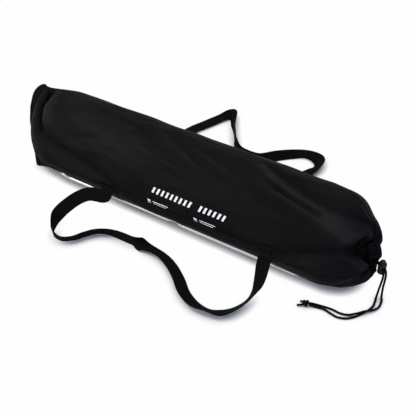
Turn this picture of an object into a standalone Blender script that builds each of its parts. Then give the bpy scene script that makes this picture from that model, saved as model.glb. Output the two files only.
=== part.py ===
# A vehicle awning packed in its black drawstring carry bag.
# The bag lies on its side on a flat surface. Units are metres and +Z is up.
# +X runs along the bag toward its gathered mouth and -Y is the front, the side with the print panel.
# The origin is on the flat underside, below the middle of the bag.
import math
import bpy
import bmesh
from mathutils import Matrix, Vector

for old_object in list(bpy.data.objects):
    bpy.data.objects.remove(old_object, do_unlink=True)

# Clearances
CLEAR = 0.0003
TURN_CLEAR = 0.00015

# Bag, a sewn fabric tube that closes to a seam at one end and to a gathered mouth at the other
WALL = 0.0010
CLOSED_RADIUS = 0.0645
MOUTH_RADIUS = 0.0680
FLAT_DEPTH = 0.0020
TUBE_START_X = -0.2220
POLE_LENGTH = 0.4500
MOUTH_ROOM = 0.0140
TUBE_END_X = TUBE_START_X + POLE_LENGTH - MOUTH_ROOM

# Closed end, a seam that stands up between two ears
SEAM_X = -0.2810
SEAM_BULGE = 0.0140
SEAM_BULGE_SKEW = 1.5
SEAM_LEAN = 0.0030
SEAM_BOTTOM_Y = -0.0270
SEAM_TOP_Y = 0.0150
SEAM_BELLY_Y = 0.0060
CLOSING_ROUND = 2.0
CLOSING_TAPER = 0.8
FLANGE_DEPTH = 0.0080
FLANGE_THICKNESS = 0.0024

# Mouth, where the bag rounds over and turns back in to an oval hem round the drawstring
DOME_LENGTH = 0.0560
DOME_TURN = math.radians(125.0)
MOUTH_Z = 0.0610
MOUTH_TILT = math.radians(14.0)
MOUTH_HALF_WIDTH = 0.0110
MOUTH_HALF_HEIGHT = 0.0160
DOME_ROUND_TOP = 1.45
DOME_ROUND_BOTTOM = 2.50
HEM_RADIUS = 0.0030
HEM_FLARE = 0.0052
HEM_FLARE_WAVE = 0.0016
HEM_PLEATS = 9
HEM_GAP = math.radians(32.0)

# Side seams, low on both sides, where the handles are sewn in
SEAM_ANGLE = math.radians(97.0)
WELT_ANGLE = math.radians(2.5)
WELT_THICKNESS = 0.0007
WELT_STEP_UP = 0.0015

# Handles, flat webbing
WEB_WIDTH = 0.0200
WEB_THICKNESS = 0.0012
HANDLE_CLOSED_X = TUBE_START_X + 0.1050
HANDLE_MOUTH_X = TUBE_END_X - 0.0700
TAB_TOP_ANGLE = math.radians(91.0)
TAB_BOTTOM_ANGLE = math.radians(103.0)
STRAP_STEP = 0.0080
STRAP_EDGE = 0.0050

# Drawstring, cord lock and knot
CORD_DIAMETER = 0.0030
CORD_PITCH = 0.0033
LOCK_AHEAD = 0.0700
LOCK_X = TUBE_END_X + LOCK_AHEAD
LOCK_Z = 0.0510
LOCK_TURN = math.radians(-45.0)
LOCK_RADIUS = 0.00575
LOCK_WALL = 0.0013
LOCK_BELOW_CORD = 0.0110
LOCK_ABOVE_CORD = 0.0060
LOCK_FLOOR = 0.0014
PLUNGER_TRAVEL = 0.0035
PLUNGER_ABOVE_BARREL = 0.0050
PLUNGER_BELOW_CORD = 0.0038
SPRING_WIRE = 0.0005
SPRING_RADIUS = 0.0030
SPRING_TURNS = 3.5
KNOT_RADIUS = 0.0050

# Contents of the bag
POLE_RADIUS = 0.0070
POLE_WALL = 0.0010
POLE_START_X = TUBE_START_X - 0.0040
POLE_SPIGOT = 0.0300
POLE_GAP = 0.0005
POLE_STEPS = 14
PACK_EASE = 0.0009
FOOT_LENGTH = 0.0120
PLUG_DEPTH = 0.0180
TIP_COLLAR = 0.0040
TIP_PIN_LENGTH = 0.0260
TIP_PIN_RADIUS = 0.0025
ROLL_SHORTER = 0.0250
ROLL_LENGTH = POLE_LENGTH - ROLL_SHORTER
ROLL_START_X = TUBE_START_X - 0.0020
ROLL_LAYER = 0.0040
ROLL_TURNS = 9
TIE_WIDTH = 0.0200
TIE_THICKNESS = 0.0012
TIE_INSET = 0.0900
PEG_RADIUS = 0.0030
PEG_LENGTH = 0.1900
PEG_HOOK = 0.0160
PEG_BEND = 0.0055
PEG_POINT = 0.0120
PEG_EASE = 0.0005
PEG_FIRST_X = TUBE_START_X + 0.0170
PEG_SPACING = 0.2050
CUP_RADIUS = 0.0250
CUP_HEIGHT = 0.0140
CUP_SHELL = 0.0020
CUP_NECK_RADIUS = 0.0070
CUP_NECK_HEIGHT = 0.0050
HOOK_PLATE_RADIUS = 0.0110
HOOK_PLATE = 0.0030
CUP_CAVITY = 0.0090
CUP_CAVITY_EDGE = 0.0065

# Routes, chosen by hand from how the straps and cords lie.
# Each strap point has x, y, z in millimetres, then which way its outer edge points:
# a heading in degrees from +X toward +Y, and how far that edge rises above level.
# The first and last points are the sewn ends, and the rest follow when those move.
FRONT_ROUTE = [
    (-117, -64.6, 48.0, 180, 0), (-117, -65.8, 45.2, 180, 0), (-118.3, -67.2, 40.8, 176, 9),
    (-124.5, -68.8, 38.0, 168, 28), (-133.5, -69.8, 36.9, 158, 40), (-142.5, -72.4, 36.4, 151, 44),
    (-151.5, -78.6, 34.2, 147, 44), (-158.5, -87, 31, 147, 41), (-166, -97.5, 25, 152, 37),
    (-173, -109.5, 17.2, 162, 38), (-175, -122.5, 12.2, 178, 58), (-168.5, -136.5, 11.4, 208, 82),
    (-154, -146, 11.2, 258, 80), (-139, -148, 10.4, 282, 64), (-126.5, -140, 9.8, 286, 56),
    (-116.5, -123.5, 8.8, 284, 46), (-106.5, -108.5, 7.6, 280, 32), (-94, -97.5, 5.0, 276, 12),
    (-79, -91, 2.6, 272, 2), (-62, -89.5, 2.0, 268, 3), (-44, -91, 4.6, 258, 18),
    (-25, -88.5, 3.4, 250, 10), (-3.5, -93.5, 2.6, 242, 0), (18.5, -101.5, 3.0, 236, 6),
    (41.5, -117, 3.6, 232, 12), (63, -134, 4.4, 242, 18), (85.5, -147.5, 5.2, 264, 22),
    (106, -151.5, 6.6, 288, 29), (123.5, -147, 7.4, 306, 34), (136, -135, 8.6, 322, 40),
    (143.6, -120, 10.4, 336, 48), (147, -107, 12.4, 343, 50), (148, -97, 16, 346, 45),
    (148, -89, 22.5, 351, 34), (147, -80.5, 32, 356, 18), (144.8, -72.4, 39.5, 359, 4),
    (144, -67.8, 46.2, 360, 0), (144, -66.6, 49.6, 360, 0),
]
REAR_ROUTE = [
    (-117, 64.6, 48.0, 180, 0), (-117, 65.8, 45.0, 180, 0), (-118, 71, 36, 179, 2),
    (-121, 79, 25, 176, 6), (-125, 90, 13, 172, 6),
    (-129, 106, 5.6, 169, -6), (-130, 128, 4.0, 166, -12), (-127.5, 152, 4.6, 163, -16),
    (-121.5, 176, 5.0, 161, -17), (-112.5, 196, 5.0, 159, -17), (-104.5, 213.5, 5.0, 157, -15),
    (-97, 230.5, 4.8, 150, -10), (-89, 241.5, 6.6, 112, 26), (-79, 239, 9.8, 64, 62),
    (-69, 223, 10.6, 38, 82), (-59, 204, 10.8, 31, 86), (-49, 189, 10.6, 34, 80),
    (-36, 174, 10.2, 48, 66), (-16, 161, 8.4, 78, 44), (8, 163, 5.2, 114, 18),
    (30, 187, 3.4, 130, 6), (46, 202, 2.2, 128, 0), (63.5, 214.5, 3.0, 114, -8),
    (83, 214.5, 4.4, 74, 10), (97.5, 204, 7.8, 24, 34), (99, 189.5, 8.0, -14, 38),
    (92, 176, 5.2, -32, 18), (85.5, 158, 3.6, -14, 4), (88.5, 138, 3.8, 12, -8),
    (102, 119, 4.4, 30, -10), (120, 102, 8.0, 34, -4), (134, 87, 19, 24, 0),
    (141, 78, 31, 8, 0), (143.6, 71.6, 39.5, 2, 0), (144, 67.8, 46.2, 0, 0), (144, 66.6, 49.6, 0, 0),
]
# Cord points in millimetres, in order from the cord lock to the knot.
TAIL_A_ROUTE = [
    (287.0, -5.3, 50.4), (288.8, -7.0, 50.2), (290.0, -8.4, 46), (289.6, -8.4, 36), (287.6, -7.6, 20),
    (286.2, -7.4, 7.0), (286.4, -11.4, 1.8), (287.8, -17, 1.6), (288.6, -29, 1.6), (282.4, -45.5, 1.6),
    (271, -62, 1.6), (258, -68.5, 1.6), (247, -67.6, 1.6), (236, -65.6, 1.6), (226, -67.2, 1.8),
    (219.5, -69.2, 3.0), (216.5, -70.5, 3.8),
]
TAIL_B_ROUTE = [
    (289.3, -3.0, 50.4), (291.1, -4.7, 50.2), (292.6, -6.0, 46), (292.6, -5.8, 36), (291.4, -4.4, 20),
    (291.2, -3.8, 7.0), (292.4, -6.6, 1.9), (294.8, -11.5, 1.6), (296.2, -24, 1.6), (291.4, -35.5, 3.2),
    (284.6, -43.0, 5.0), (276.6, -52.4, 4.8), (267, -58.2, 2.2), (257, -60.6, 1.6), (246, -60.0, 1.6),
    (236, -61.0, 1.6), (226.5, -62.8, 1.8), (218.8, -65.6, 3.0), (215.0, -67.5, 3.8),
]
# Cord points from the hem's two lower ends to the lock.
FRONT_LEG_ROUTE = [
    (264.0, -5.6, 47.6), (266.2, -3.4, 46.8), (269.4, -1.4, 47.4), (273.0, 0.2, 49.4), (276.2, 1.9, 51.2),
    (278.8, 2.9, 51.6),
]
REAR_LEG_ROUTE = [
    (264.0, 5.6, 47.6), (266.2, 3.8, 46.8), (269.6, 3.0, 47.4), (273.2, 3.8, 49.4), (277.4, 5.6, 51.2),
    (281.1, 5.2, 51.6),
]
KNOT_AXIS = (-0.89, -0.46, 0.0)

MM = 0.001
TUBE_LENGTH = TUBE_END_X - TUBE_START_X
CLOSED_HEIGHT = 2.0 * CLOSED_RADIUS - FLAT_DEPTH


# Materials
def make_material(name, colour, roughness, metallic=0.0):
    material = bpy.data.materials.new(name)
    material.use_nodes = True
    shader = material.node_tree.nodes["Principled BSDF"]
    shader.inputs["Base Color"].default_value = (*colour, 1.0)
    shader.inputs["Roughness"].default_value = roughness
    shader.inputs["Metallic"].default_value = metallic
    material.diffuse_color = (*colour, 1.0)
    return material


BAG_FABRIC = make_material("coated_bag_fabric", (0.012, 0.012, 0.013), 0.62)
WEBBING = make_material("webbing", (0.008, 0.008, 0.008), 0.85)
CORD = make_material("braided_cord", (0.006, 0.006, 0.006), 0.75)
LOCK_PLASTIC = make_material("moulded_plastic", (0.010, 0.010, 0.011), 0.28)
CANOPY_FABRIC = make_material("canopy_fabric", (0.010, 0.018, 0.030), 0.70)
STEEL = make_material("bright_steel", (0.55, 0.56, 0.57), 0.30, 1.0)
RUBBER = make_material("rubber", (0.020, 0.020, 0.020), 0.75)
CLEAR_RUBBER = make_material("cup_rubber", (0.30, 0.32, 0.33), 0.35)


# Mesh helpers
def add_object(name, vertices, faces, material, smooth_degrees=40.0):
    mesh = bpy.data.meshes.new(name)
    mesh.from_pydata([tuple(vertex) for vertex in vertices], [], faces)
    work = bmesh.new()
    work.from_mesh(mesh)
    bmesh.ops.recalc_face_normals(work, faces=work.faces)
    if work.calc_volume(signed=True) < 0.0:
        bmesh.ops.reverse_faces(work, faces=work.faces)
    work.to_mesh(mesh)
    work.free()
    mesh.materials.append(material)
    mesh.shade_smooth()
    mesh.set_sharp_from_angle(angle=math.radians(smooth_degrees))
    thing = bpy.data.objects.new(name, mesh)
    bpy.context.scene.collection.objects.link(thing)
    return thing


def grid_faces(first, rows, columns, wrap_rows=False, wrap_columns=False):
    """Quads of a grid of vertices that starts at index first."""
    faces = []
    for row in range(rows if wrap_rows else rows - 1):
        for column in range(columns if wrap_columns else columns - 1):
            next_row = (row + 1) % rows
            next_column = (column + 1) % columns
            faces.append((first + row * columns + column,
                          first + row * columns + next_column,
                          first + next_row * columns + next_column,
                          first + next_row * columns + column))
    return faces


def thick_sheet(name, outer, inner, material):
    """A closed shell between two grids of points that have the same rows and columns."""
    rows, columns = len(outer), len(outer[0])
    vertices = [point for row in outer for point in row] + [point for row in inner for point in row]
    count = rows * columns
    faces = grid_faces(0, rows, columns)
    faces += [tuple(reversed(face)) for face in grid_faces(count, rows, columns)]
    rim = [column for column in range(columns)]
    rim += [row * columns + columns - 1 for row in range(1, rows)]
    rim += [(rows - 1) * columns + column for column in range(columns - 2, -1, -1)]
    rim += [row * columns for row in range(rows - 2, 0, -1)]
    for here, there in zip(rim, rim[1:] + rim[:1]):
        faces.append((there, here, here + count, there + count))
    return add_object(name, vertices, faces, material)


def swept_loop(name, sections, material, capped=True, closed=False, smooth_degrees=40.0):
    """A closed body through equal rings of points, capped at both ends or joined to itself."""
    rows, columns = len(sections), len(sections[0])
    vertices = [point for section in sections for point in section]
    faces = grid_faces(0, rows, columns, wrap_rows=closed, wrap_columns=True)
    if capped and not closed:
        faces.append(tuple(range(columns)))
        faces.append(tuple(reversed(range((rows - 1) * columns, rows * columns))))
    return add_object(name, vertices, faces, material, smooth_degrees)


def turned(name, profile, frame, material, steps=24):
    """A profile of (radius, height) points turned about the frame's Z axis; it must be closed.

    A profile that touches the axis starts and ends on it, and one with a bore goes all the way round.
    """
    bored = profile[0][0] > 0.0
    vertices, rings = [], []
    for radius, height in profile:
        if radius == 0.0:
            rings.append([len(vertices)])
            vertices.append(frame @ Vector((0.0, 0.0, height)))
            continue
        ring = []
        for step in range(steps):
            angle = 2.0 * math.pi * step / steps
            ring.append(len(vertices))
            vertices.append(frame @ Vector((radius * math.cos(angle), radius * math.sin(angle), height)))
        rings.append(ring)
    faces = []
    pairs = list(zip(rings, rings[1:]))
    if bored:
        pairs.append((rings[-1], rings[0]))
    for low, high in pairs:
        for step in range(steps):
            following = (step + 1) % steps
            if len(low) == 1:
                faces.append((low[0], high[following], high[step]))
            elif len(high) == 1:
                faces.append((low[step], low[following], high[0]))
            else:
                faces.append((low[step], low[following], high[following], high[step]))
    return add_object(name, vertices, faces, material)


def smooth_curve(points, spacing, pace=None):
    """Points about one spacing apart on a Catmull-Rom curve through the given points.

    With a pace, another list of points, the steps are those of the curve through that list.
    """
    points = [Vector(point) for point in points]
    pace = pace or points
    ends = [2.0 * points[0] - points[1]] + points + [2.0 * points[-1] - points[-2]]
    curve = []
    for index in range(1, len(ends) - 2):
        before, start, end, after = ends[index - 1:index + 3]
        pieces = max(1, round((Vector(pace[index]) - Vector(pace[index - 1])).length / spacing))
        for piece in range(pieces):
            t = piece / pieces
            curve.append(0.5 * (2.0 * start + (end - before) * t
                                + (2.0 * before - 5.0 * start + 4.0 * end - after) * t ** 2
                                + (3.0 * start - before - 3.0 * end + after) * t ** 3))
    curve.append(points[-1])
    return curve


def follow(route, start, end):
    """The route with its ends moved to start and end, and its bends as large as that move makes them."""
    route = [Vector(point[:3]) * MM for point in route]
    first, last = route[0], route[-1]
    size = (end - start).length / (last - first).length
    moved = []
    for index, point in enumerate(route):
        share = index / (len(route) - 1)
        bend = (point - first.lerp(last, share)) * size
        place = start.lerp(end, share) + bend
        height = start.z / first.z * (1.0 - share) + end.z / last.z * share
        moved.append(Vector((place.x, place.y, point.z * height)))
    return moved


def tube(name, points, diameter, material, bevel_resolution=2):
    """A round cord through the given points, with filled ends."""
    curve = bpy.data.curves.new(name, "CURVE")
    curve.dimensions = "3D"
    curve.bevel_depth = diameter / 2.0
    curve.bevel_resolution = bevel_resolution
    curve.use_fill_caps = True
    spline = curve.splines.new("POLY")
    spline.points.add(len(points) - 1)
    for spline_point, point in zip(spline.points, points):
        spline_point.co = (*point, 1.0)
    spline.use_smooth = True
    curve.materials.append(material)
    thing = bpy.data.objects.new(name, curve)
    bpy.context.scene.collection.objects.link(thing)
    return thing


def axis_frame(origin, axis, across):
    """A frame whose Z runs along axis and whose X lies along across."""
    z = Vector(axis).normalized()
    y = z.cross(Vector(across)).normalized()
    x = y.cross(z)
    frame = Matrix((x, y, z)).transposed().to_4x4()
    frame.translation = Vector(origin)
    return frame


# The bag's surface
def tube_radius(x):
    share = (x - TUBE_START_X) / TUBE_LENGTH
    return CLOSED_RADIUS + (MOUTH_RADIUS - CLOSED_RADIUS) * share


def seam_line(height_share):
    """A point of the closed end's seam, from the bottom ear (0) to the top ear (1)."""
    belly = math.sin(math.pi * height_share)
    x = SEAM_X + SEAM_LEAN * (1.0 - height_share) - SEAM_BULGE * math.sin(math.pi * height_share ** SEAM_BULGE_SKEW)
    y = SEAM_BOTTOM_Y + (SEAM_TOP_Y - SEAM_BOTTOM_Y) * height_share - SEAM_BELLY_Y * belly
    return Vector((x, y, CLOSED_HEIGHT * height_share))


def dome_end_x():
    return TUBE_END_X + DOME_LENGTH * math.sin(DOME_TURN)


def hem_frame():
    """Centre of the cord's oval in the mouth, and its outward, front and upward directions."""
    outward = Vector((math.cos(MOUTH_TILT), 0.0, math.sin(MOUTH_TILT)))
    upward = Vector((-math.sin(MOUTH_TILT), 0.0, math.cos(MOUTH_TILT)))
    return Vector((dome_end_x(), 0.0, MOUTH_Z)), outward, Vector((0.0, -1.0, 0.0)), upward


def bag_point(station, angle, inset):
    """A point of the bag's skin. Up to the end of the round tube, it can be moved inward by inset.

    Station runs from -1 at the closed end's seam through 0 and 1, the ends of the round tube,
    to 2 at the hem. The angle is measured from the top toward the front.
    """
    if station < 0.0:
        closing = -station
        width_share = (1.0 - closing ** CLOSING_ROUND) ** CLOSING_TAPER
        radius = CLOSED_RADIUS - inset
        centre = CLOSED_RADIUS - FLAT_DEPTH
        z = max(centre + radius * math.cos(angle), inset)
        seam = seam_line(min(max(z / CLOSED_HEIGHT, 0.0), 1.0))
        side = -min(max(6.0 * math.sin(angle), -1.0), 1.0)
        seam_y = seam.y + side * (WALL + TURN_CLEAR - inset)
        y = seam_y + (-radius * math.sin(angle) - seam_y) * width_share
        x = TUBE_START_X + (seam.x - TUBE_START_X) * closing
        return Vector((x, y, z))
    if station <= 1.0:
        x = TUBE_START_X + TUBE_LENGTH * station
        radius = tube_radius(x)
        y = -(radius - inset) * math.sin(angle)
        z = radius - FLAT_DEPTH + (radius - inset) * math.cos(angle)
        return Vector((x, y, max(z, inset)))
    turn = (station - 1.0) * math.pi / 2.0
    round_over = (station - 1.0) * DOME_TURN
    roundness = DOME_ROUND_BOTTOM + (DOME_ROUND_TOP - DOME_ROUND_BOTTOM) * (1.0 + math.cos(angle)) / 2.0
    share = max(math.cos(turn), 0.0) ** roundness
    half_width = MOUTH_HALF_WIDTH + HEM_RADIUS + 3.0 * CLEAR
    half_height = (MOUTH_HALF_HEIGHT + HEM_RADIUS + 3.0 * CLEAR) * math.cos(MOUTH_TILT)
    across = half_width + (MOUTH_RADIUS - half_width) * share
    tall = half_height + (MOUTH_RADIUS - half_height) * share
    centre = MOUTH_Z + (MOUTH_RADIUS - FLAT_DEPTH - MOUTH_Z) * share
    y = -across * math.sin(angle)
    z = max(centre + tall * math.cos(angle), 0.0)
    lean = math.tan(MOUTH_TILT) * (1.0 - share) * (z - centre)
    x = TUBE_END_X + DOME_LENGTH * math.sin(round_over) - lean
    return Vector((x, y, z))


def inner_point(station, angle):
    """The inside of the skin. Past the round tube the skin turns in, so its own direction counts."""
    if station <= 1.0:
        return bag_point(station, angle, WALL)
    return above_skin(station, angle, -WALL)


def bag_normal(station, angle):
    """The outward direction of the bag's skin."""
    step = 0.004
    along = bag_point(min(station + step, 2.0), angle, 0.0) - bag_point(max(station - step, -1.0), angle, 0.0)
    around = bag_point(station, angle + step, 0.0) - bag_point(station, angle - step, 0.0)
    return around.cross(along).normalized()


def above_skin(station, angle, lift):
    return bag_point(station, angle, 0.0) + bag_normal(station, angle) * lift


def spread(start, end, count):
    return [start + (end - start) * index / (count - 1) for index in range(count)]


CLOSING_STATIONS = [-1.0, -0.94, -0.84, -0.68, -0.46, -0.22]
TUBE_STATIONS = spread(0.0, 1.0, 7)
DOME_STATIONS = [1.16, 1.32, 1.48, 1.64, 1.80, 1.92, 2.0]
BAG_STATIONS = CLOSING_STATIONS + TUBE_STATIONS + DOME_STATIONS


def half_gap(station):
    """Half of the gap between the panels, as an angle at this station."""
    step = 0.01
    around = bag_point(station, SEAM_ANGLE + step, 0.0) - bag_point(station, SEAM_ANGLE - step, 0.0)
    return 1.3 * TURN_CLEAR * 2.0 * step / around.length


def panel(name, first_angle, last_angle, columns):
    outer, inner = [], []
    for station in BAG_STATIONS:
        gap = half_gap(station)
        angles = spread(first_angle + gap, last_angle - gap, columns)
        outer.append([bag_point(station, angle, 0.0) for angle in angles])
        inner.append([inner_point(station, angle) for angle in angles])
    return thick_sheet(name, outer, inner, BAG_FABRIC)


def build_panels():
    panel("bag_upper_panel", -SEAM_ANGLE, SEAM_ANGLE, 23)
    panel("bag_base_panel", SEAM_ANGLE, 2.0 * math.pi - SEAM_ANGLE, 17)


def build_end_flange():
    """The seam allowance that stands out along the closed end, from ear to ear."""
    sections = []
    half = FLANGE_THICKNESS / 2.0
    shares = spread(0.0, 1.0, 25)
    for share in shares:
        point = seam_line(share)
        before = seam_line(max(share - 0.02, 0.0))
        after = seam_line(min(share + 0.02, 1.0))
        along = after - before
        outward = Vector((-along.z, 0.0, along.x)).normalized()
        near = point + outward * 1.5 * CLEAR
        far = point + outward * FLANGE_DEPTH
        ring = [near + Vector((0.0, -half, 0.0)), far + Vector((0.0, -half, 0.0)),
                far + Vector((0.0, half, 0.0)), near + Vector((0.0, half, 0.0))]
        sections.append([Vector((p.x, p.y, max(p.z, 0.0))) for p in ring])
    swept_loop("closed_end_seam_flange", sections, BAG_FABRIC)


def station_of(x):
    return (x - TUBE_START_X) / TUBE_LENGTH


def build_welt(name, side):
    """The turned seam that runs along one side and passes over the handle's sewn ends."""
    flat_lift = CLEAR
    over_tab = 2.0 * CLEAR + WEB_THICKNESS
    reach = WEB_WIDTH / 2.0 + CLEAR
    lifted = []
    for handle_x in (HANDLE_CLOSED_X, HANDLE_MOUTH_X):
        lifted.append((station_of(handle_x - reach), station_of(handle_x + reach)))
    step = WELT_STEP_UP / TUBE_LENGTH
    stations = [(station, flat_lift) for station in (-0.68, -0.46, -0.22, 0.0, 0.10)]
    for first, last in lifted:
        stations += [(first - step, flat_lift), (first, over_tab), (last, over_tab), (last + step, flat_lift)]
    stations += [(station, flat_lift) for station in (0.35, 0.50, 0.65, 0.94, 1.0, 1.16, 1.32, 1.48, 1.64)]
    stations.sort()
    sections = []
    for station, lift in stations:
        low = side * (SEAM_ANGLE + WELT_ANGLE)
        high = side * (SEAM_ANGLE - WELT_ANGLE)
        sections.append([above_skin(station, high, lift), above_skin(station, high, lift + WELT_THICKNESS),
                         above_skin(station, low, lift + WELT_THICKNESS), above_skin(station, low, lift)])
    swept_loop(name, sections, BAG_FABRIC)


def build_tab(name, handle_x, side):
    """The part of the webbing that is sewn flat to the bag, under the welt."""
    angles = spread(side * TAB_TOP_ANGLE, side * TAB_BOTTOM_ANGLE, 6)
    stations = [station_of(handle_x - WEB_WIDTH / 2.0), station_of(handle_x + WEB_WIDTH / 2.0)]
    outer = [[bag_point(station, angle, -CLEAR - WEB_THICKNESS) for angle in angles] for station in stations]
    inner = [[bag_point(station, angle, -CLEAR) for angle in angles] for station in stations]
    thick_sheet(name, outer, inner, WEBBING)


def hinge_point(handle_x, side):
    """Where the webbing leaves its sewn end, on the outer face, and so where the loop swings."""
    angle = side * (TAB_BOTTOM_ANGLE + CLEAR / CLOSED_RADIUS)
    return bag_point(station_of(handle_x), angle, -CLEAR - WEB_THICKNESS - TURN_CLEAR)


def web_direction(heading, rise):
    heading, rise = math.radians(heading), math.radians(rise)
    return Vector((math.cos(heading) * math.cos(rise), math.sin(heading) * math.cos(rise), math.sin(rise)))


def build_loop(name, side, route, hinge_empty):
    """The free length of a handle, a ribbon that turns and twists along its route."""
    starts = []
    for handle_x in (HANDLE_CLOSED_X, HANDLE_MOUTH_X):
        angle = side * (TAB_BOTTOM_ANGLE + 2.0 * CLEAR / CLOSED_RADIUS)
        starts.append(bag_point(station_of(handle_x), angle, -CLEAR - WEB_THICKNESS / 2.0))
    hinge_line = (starts[1] - starts[0]).normalized()
    places = follow(route, starts[0], starts[1])
    outers = [web_direction(point[3], point[4]) for point in route]
    outers[0], outers[-1] = -hinge_line, hinge_line
    centre = smooth_curve(places, STRAP_STEP)
    turned_edge = smooth_curve([place + outer * STRAP_EDGE for place, outer in zip(places, outers)], STRAP_STEP, places)
    steps = len(centre)
    half_width, half_thickness = WEB_WIDTH / 2.0, WEB_THICKNESS / 2.0
    sections = []
    for index, point in enumerate(centre):
        before = centre[max(index - 1, 0)]
        after = centre[min(index + 1, steps - 1)]
        along = (after - before).normalized()
        across = turned_edge[index] - point
        across = (across - along * across.dot(along)).normalized()
        face = along.cross(across)
        end = 0.3 if index in (0, steps - 1) else 1.0
        ring = [point + across * half_width + face * half_thickness * end,
                point - across * half_width + face * half_thickness * end,
                point - across * half_width - face * half_thickness * end,
                point + across * half_width - face * half_thickness * end]
        sections.append([Vector((p.x, p.y, max(p.z, 0.0))) for p in ring])
    loop = swept_loop(name, sections, WEBBING)
    loop.parent = hinge_empty
    loop.matrix_parent_inverse = hinge_empty.matrix_world.inverted()


def build_handle(prefix, side, route):
    build_tab(prefix + "_sewn_end_closed", HANDLE_CLOSED_X, side)
    build_tab(prefix + "_sewn_end_mouth", HANDLE_MOUTH_X, side)
    first, last = hinge_point(HANDLE_CLOSED_X, side), hinge_point(HANDLE_MOUTH_X, side)
    hinge = bpy.data.objects.new(prefix + "_hinge", None)
    hinge.matrix_world = axis_frame(first, last - first, (0.0, 1.0, 0.0))
    bpy.context.scene.collection.objects.link(hinge)
    bpy.context.view_layer.update()
    build_loop(prefix + "_loop", side, route, hinge)
    print(prefix, "hinge from", [round(v, 6) for v in first], "to", [round(v, 6) for v in last])


# Mouth
def hem_point(angle, out, away):
    """A point near the hem's cord: out is along the mouth's axis, away is outward from its middle."""
    centre, outward, front, upward = hem_frame()
    on_oval = centre + front * (MOUTH_HALF_WIDTH * math.sin(angle)) + upward * (MOUTH_HALF_HEIGHT * math.cos(angle))
    radial = (front * (math.sin(angle) / MOUTH_HALF_WIDTH) + upward * (math.cos(angle) / MOUTH_HALF_HEIGHT))
    return on_oval + outward * out + radial.normalized() * away


def build_hem():
    """The folded hem: a channel round the drawstring, with a free edge that flares in pleats."""
    bore = CORD_DIAMETER / 2.0 + 1.5 * CLEAR
    outer_rings, inner_rings = [], []
    for angle in spread(-math.pi + HEM_GAP, math.pi - HEM_GAP, 37):
        wave = math.cos(HEM_PLEATS * angle)
        fade = min(1.0, (math.pi - HEM_GAP * 0.6 - abs(angle)) * 1.6)
        flare = (HEM_FLARE + HEM_FLARE_WAVE * wave) * fade
        ring = []
        for degrees in (-180, -145, -110, -75, -40, -5):
            turn = math.radians(degrees)
            ring.append(hem_point(angle, HEM_RADIUS * math.cos(turn), HEM_RADIUS * math.sin(turn)))
        ring.append(hem_point(angle, HEM_RADIUS + flare * 0.70, flare * 0.25))
        ring.append(hem_point(angle, HEM_RADIUS + flare * 1.10, flare * 0.70 + WALL * 0.5))
        ring.append(hem_point(angle, HEM_RADIUS + flare * 0.80, flare * 0.70 + WALL * 1.5))
        for degrees in (65, 100, 140):
            turn = math.radians(degrees)
            ring.append(hem_point(angle, HEM_RADIUS * math.cos(turn), HEM_RADIUS * math.sin(turn)))
        outer_rings.append(ring)
        inner_rings.append([hem_point(angle, bore * math.cos(turn), bore * math.sin(turn))
                            for turn in [math.radians(-180 + 30 * step) for step in range(12)]])
    rows, columns = len(outer_rings), len(outer_rings[0])
    vertices = [p for ring in outer_rings for p in ring] + [p for ring in inner_rings for p in ring]
    count = rows * columns
    faces = grid_faces(0, rows, columns, wrap_columns=True)
    faces += [tuple(reversed(face)) for face in grid_faces(count, rows, columns, wrap_columns=True)]
    for row in (0, rows - 1):
        for column in range(columns):
            following = (column + 1) % columns
            quad = (row * columns + column, row * columns + following,
                    count + row * columns + following, count + row * columns + column)
            faces.append(quad if row == 0 else tuple(reversed(quad)))
    add_object("mouth_hem", vertices, faces, BAG_FABRIC)


def lock_frame():
    """The cord lock's frame: Z along the upright barrel, X along the cords and away from the bag."""
    cords = Vector((math.cos(LOCK_TURN), math.sin(LOCK_TURN), 0.0))
    return axis_frame((LOCK_X, 0.0, LOCK_Z), (0.0, 0.0, 1.0), cords)


def block_cutter(name, size, centre, frame):
    """A plain block that cuts a slot; it isn't part of the bag."""
    work = bmesh.new()
    bmesh.ops.create_cube(work, size=1.0)
    bmesh.ops.scale(work, vec=size, verts=work.verts)
    bmesh.ops.translate(work, vec=centre, verts=work.verts)
    bmesh.ops.transform(work, matrix=frame, verts=work.verts)
    mesh = bpy.data.meshes.new(name)
    work.to_mesh(mesh)
    work.free()
    block = bpy.data.objects.new(name, mesh)
    bpy.context.scene.collection.objects.link(block)
    block.hide_render = True
    block.display_type = "WIRE"
    return block


def cut_slot(target, name, size, centre, frame):
    cutter = block_cutter(name, size, centre, frame)
    boolean = target.modifiers.new("cord_slot", "BOOLEAN")
    boolean.operation = "DIFFERENCE"
    boolean.solver = "EXACT"
    boolean.object = cutter


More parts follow.
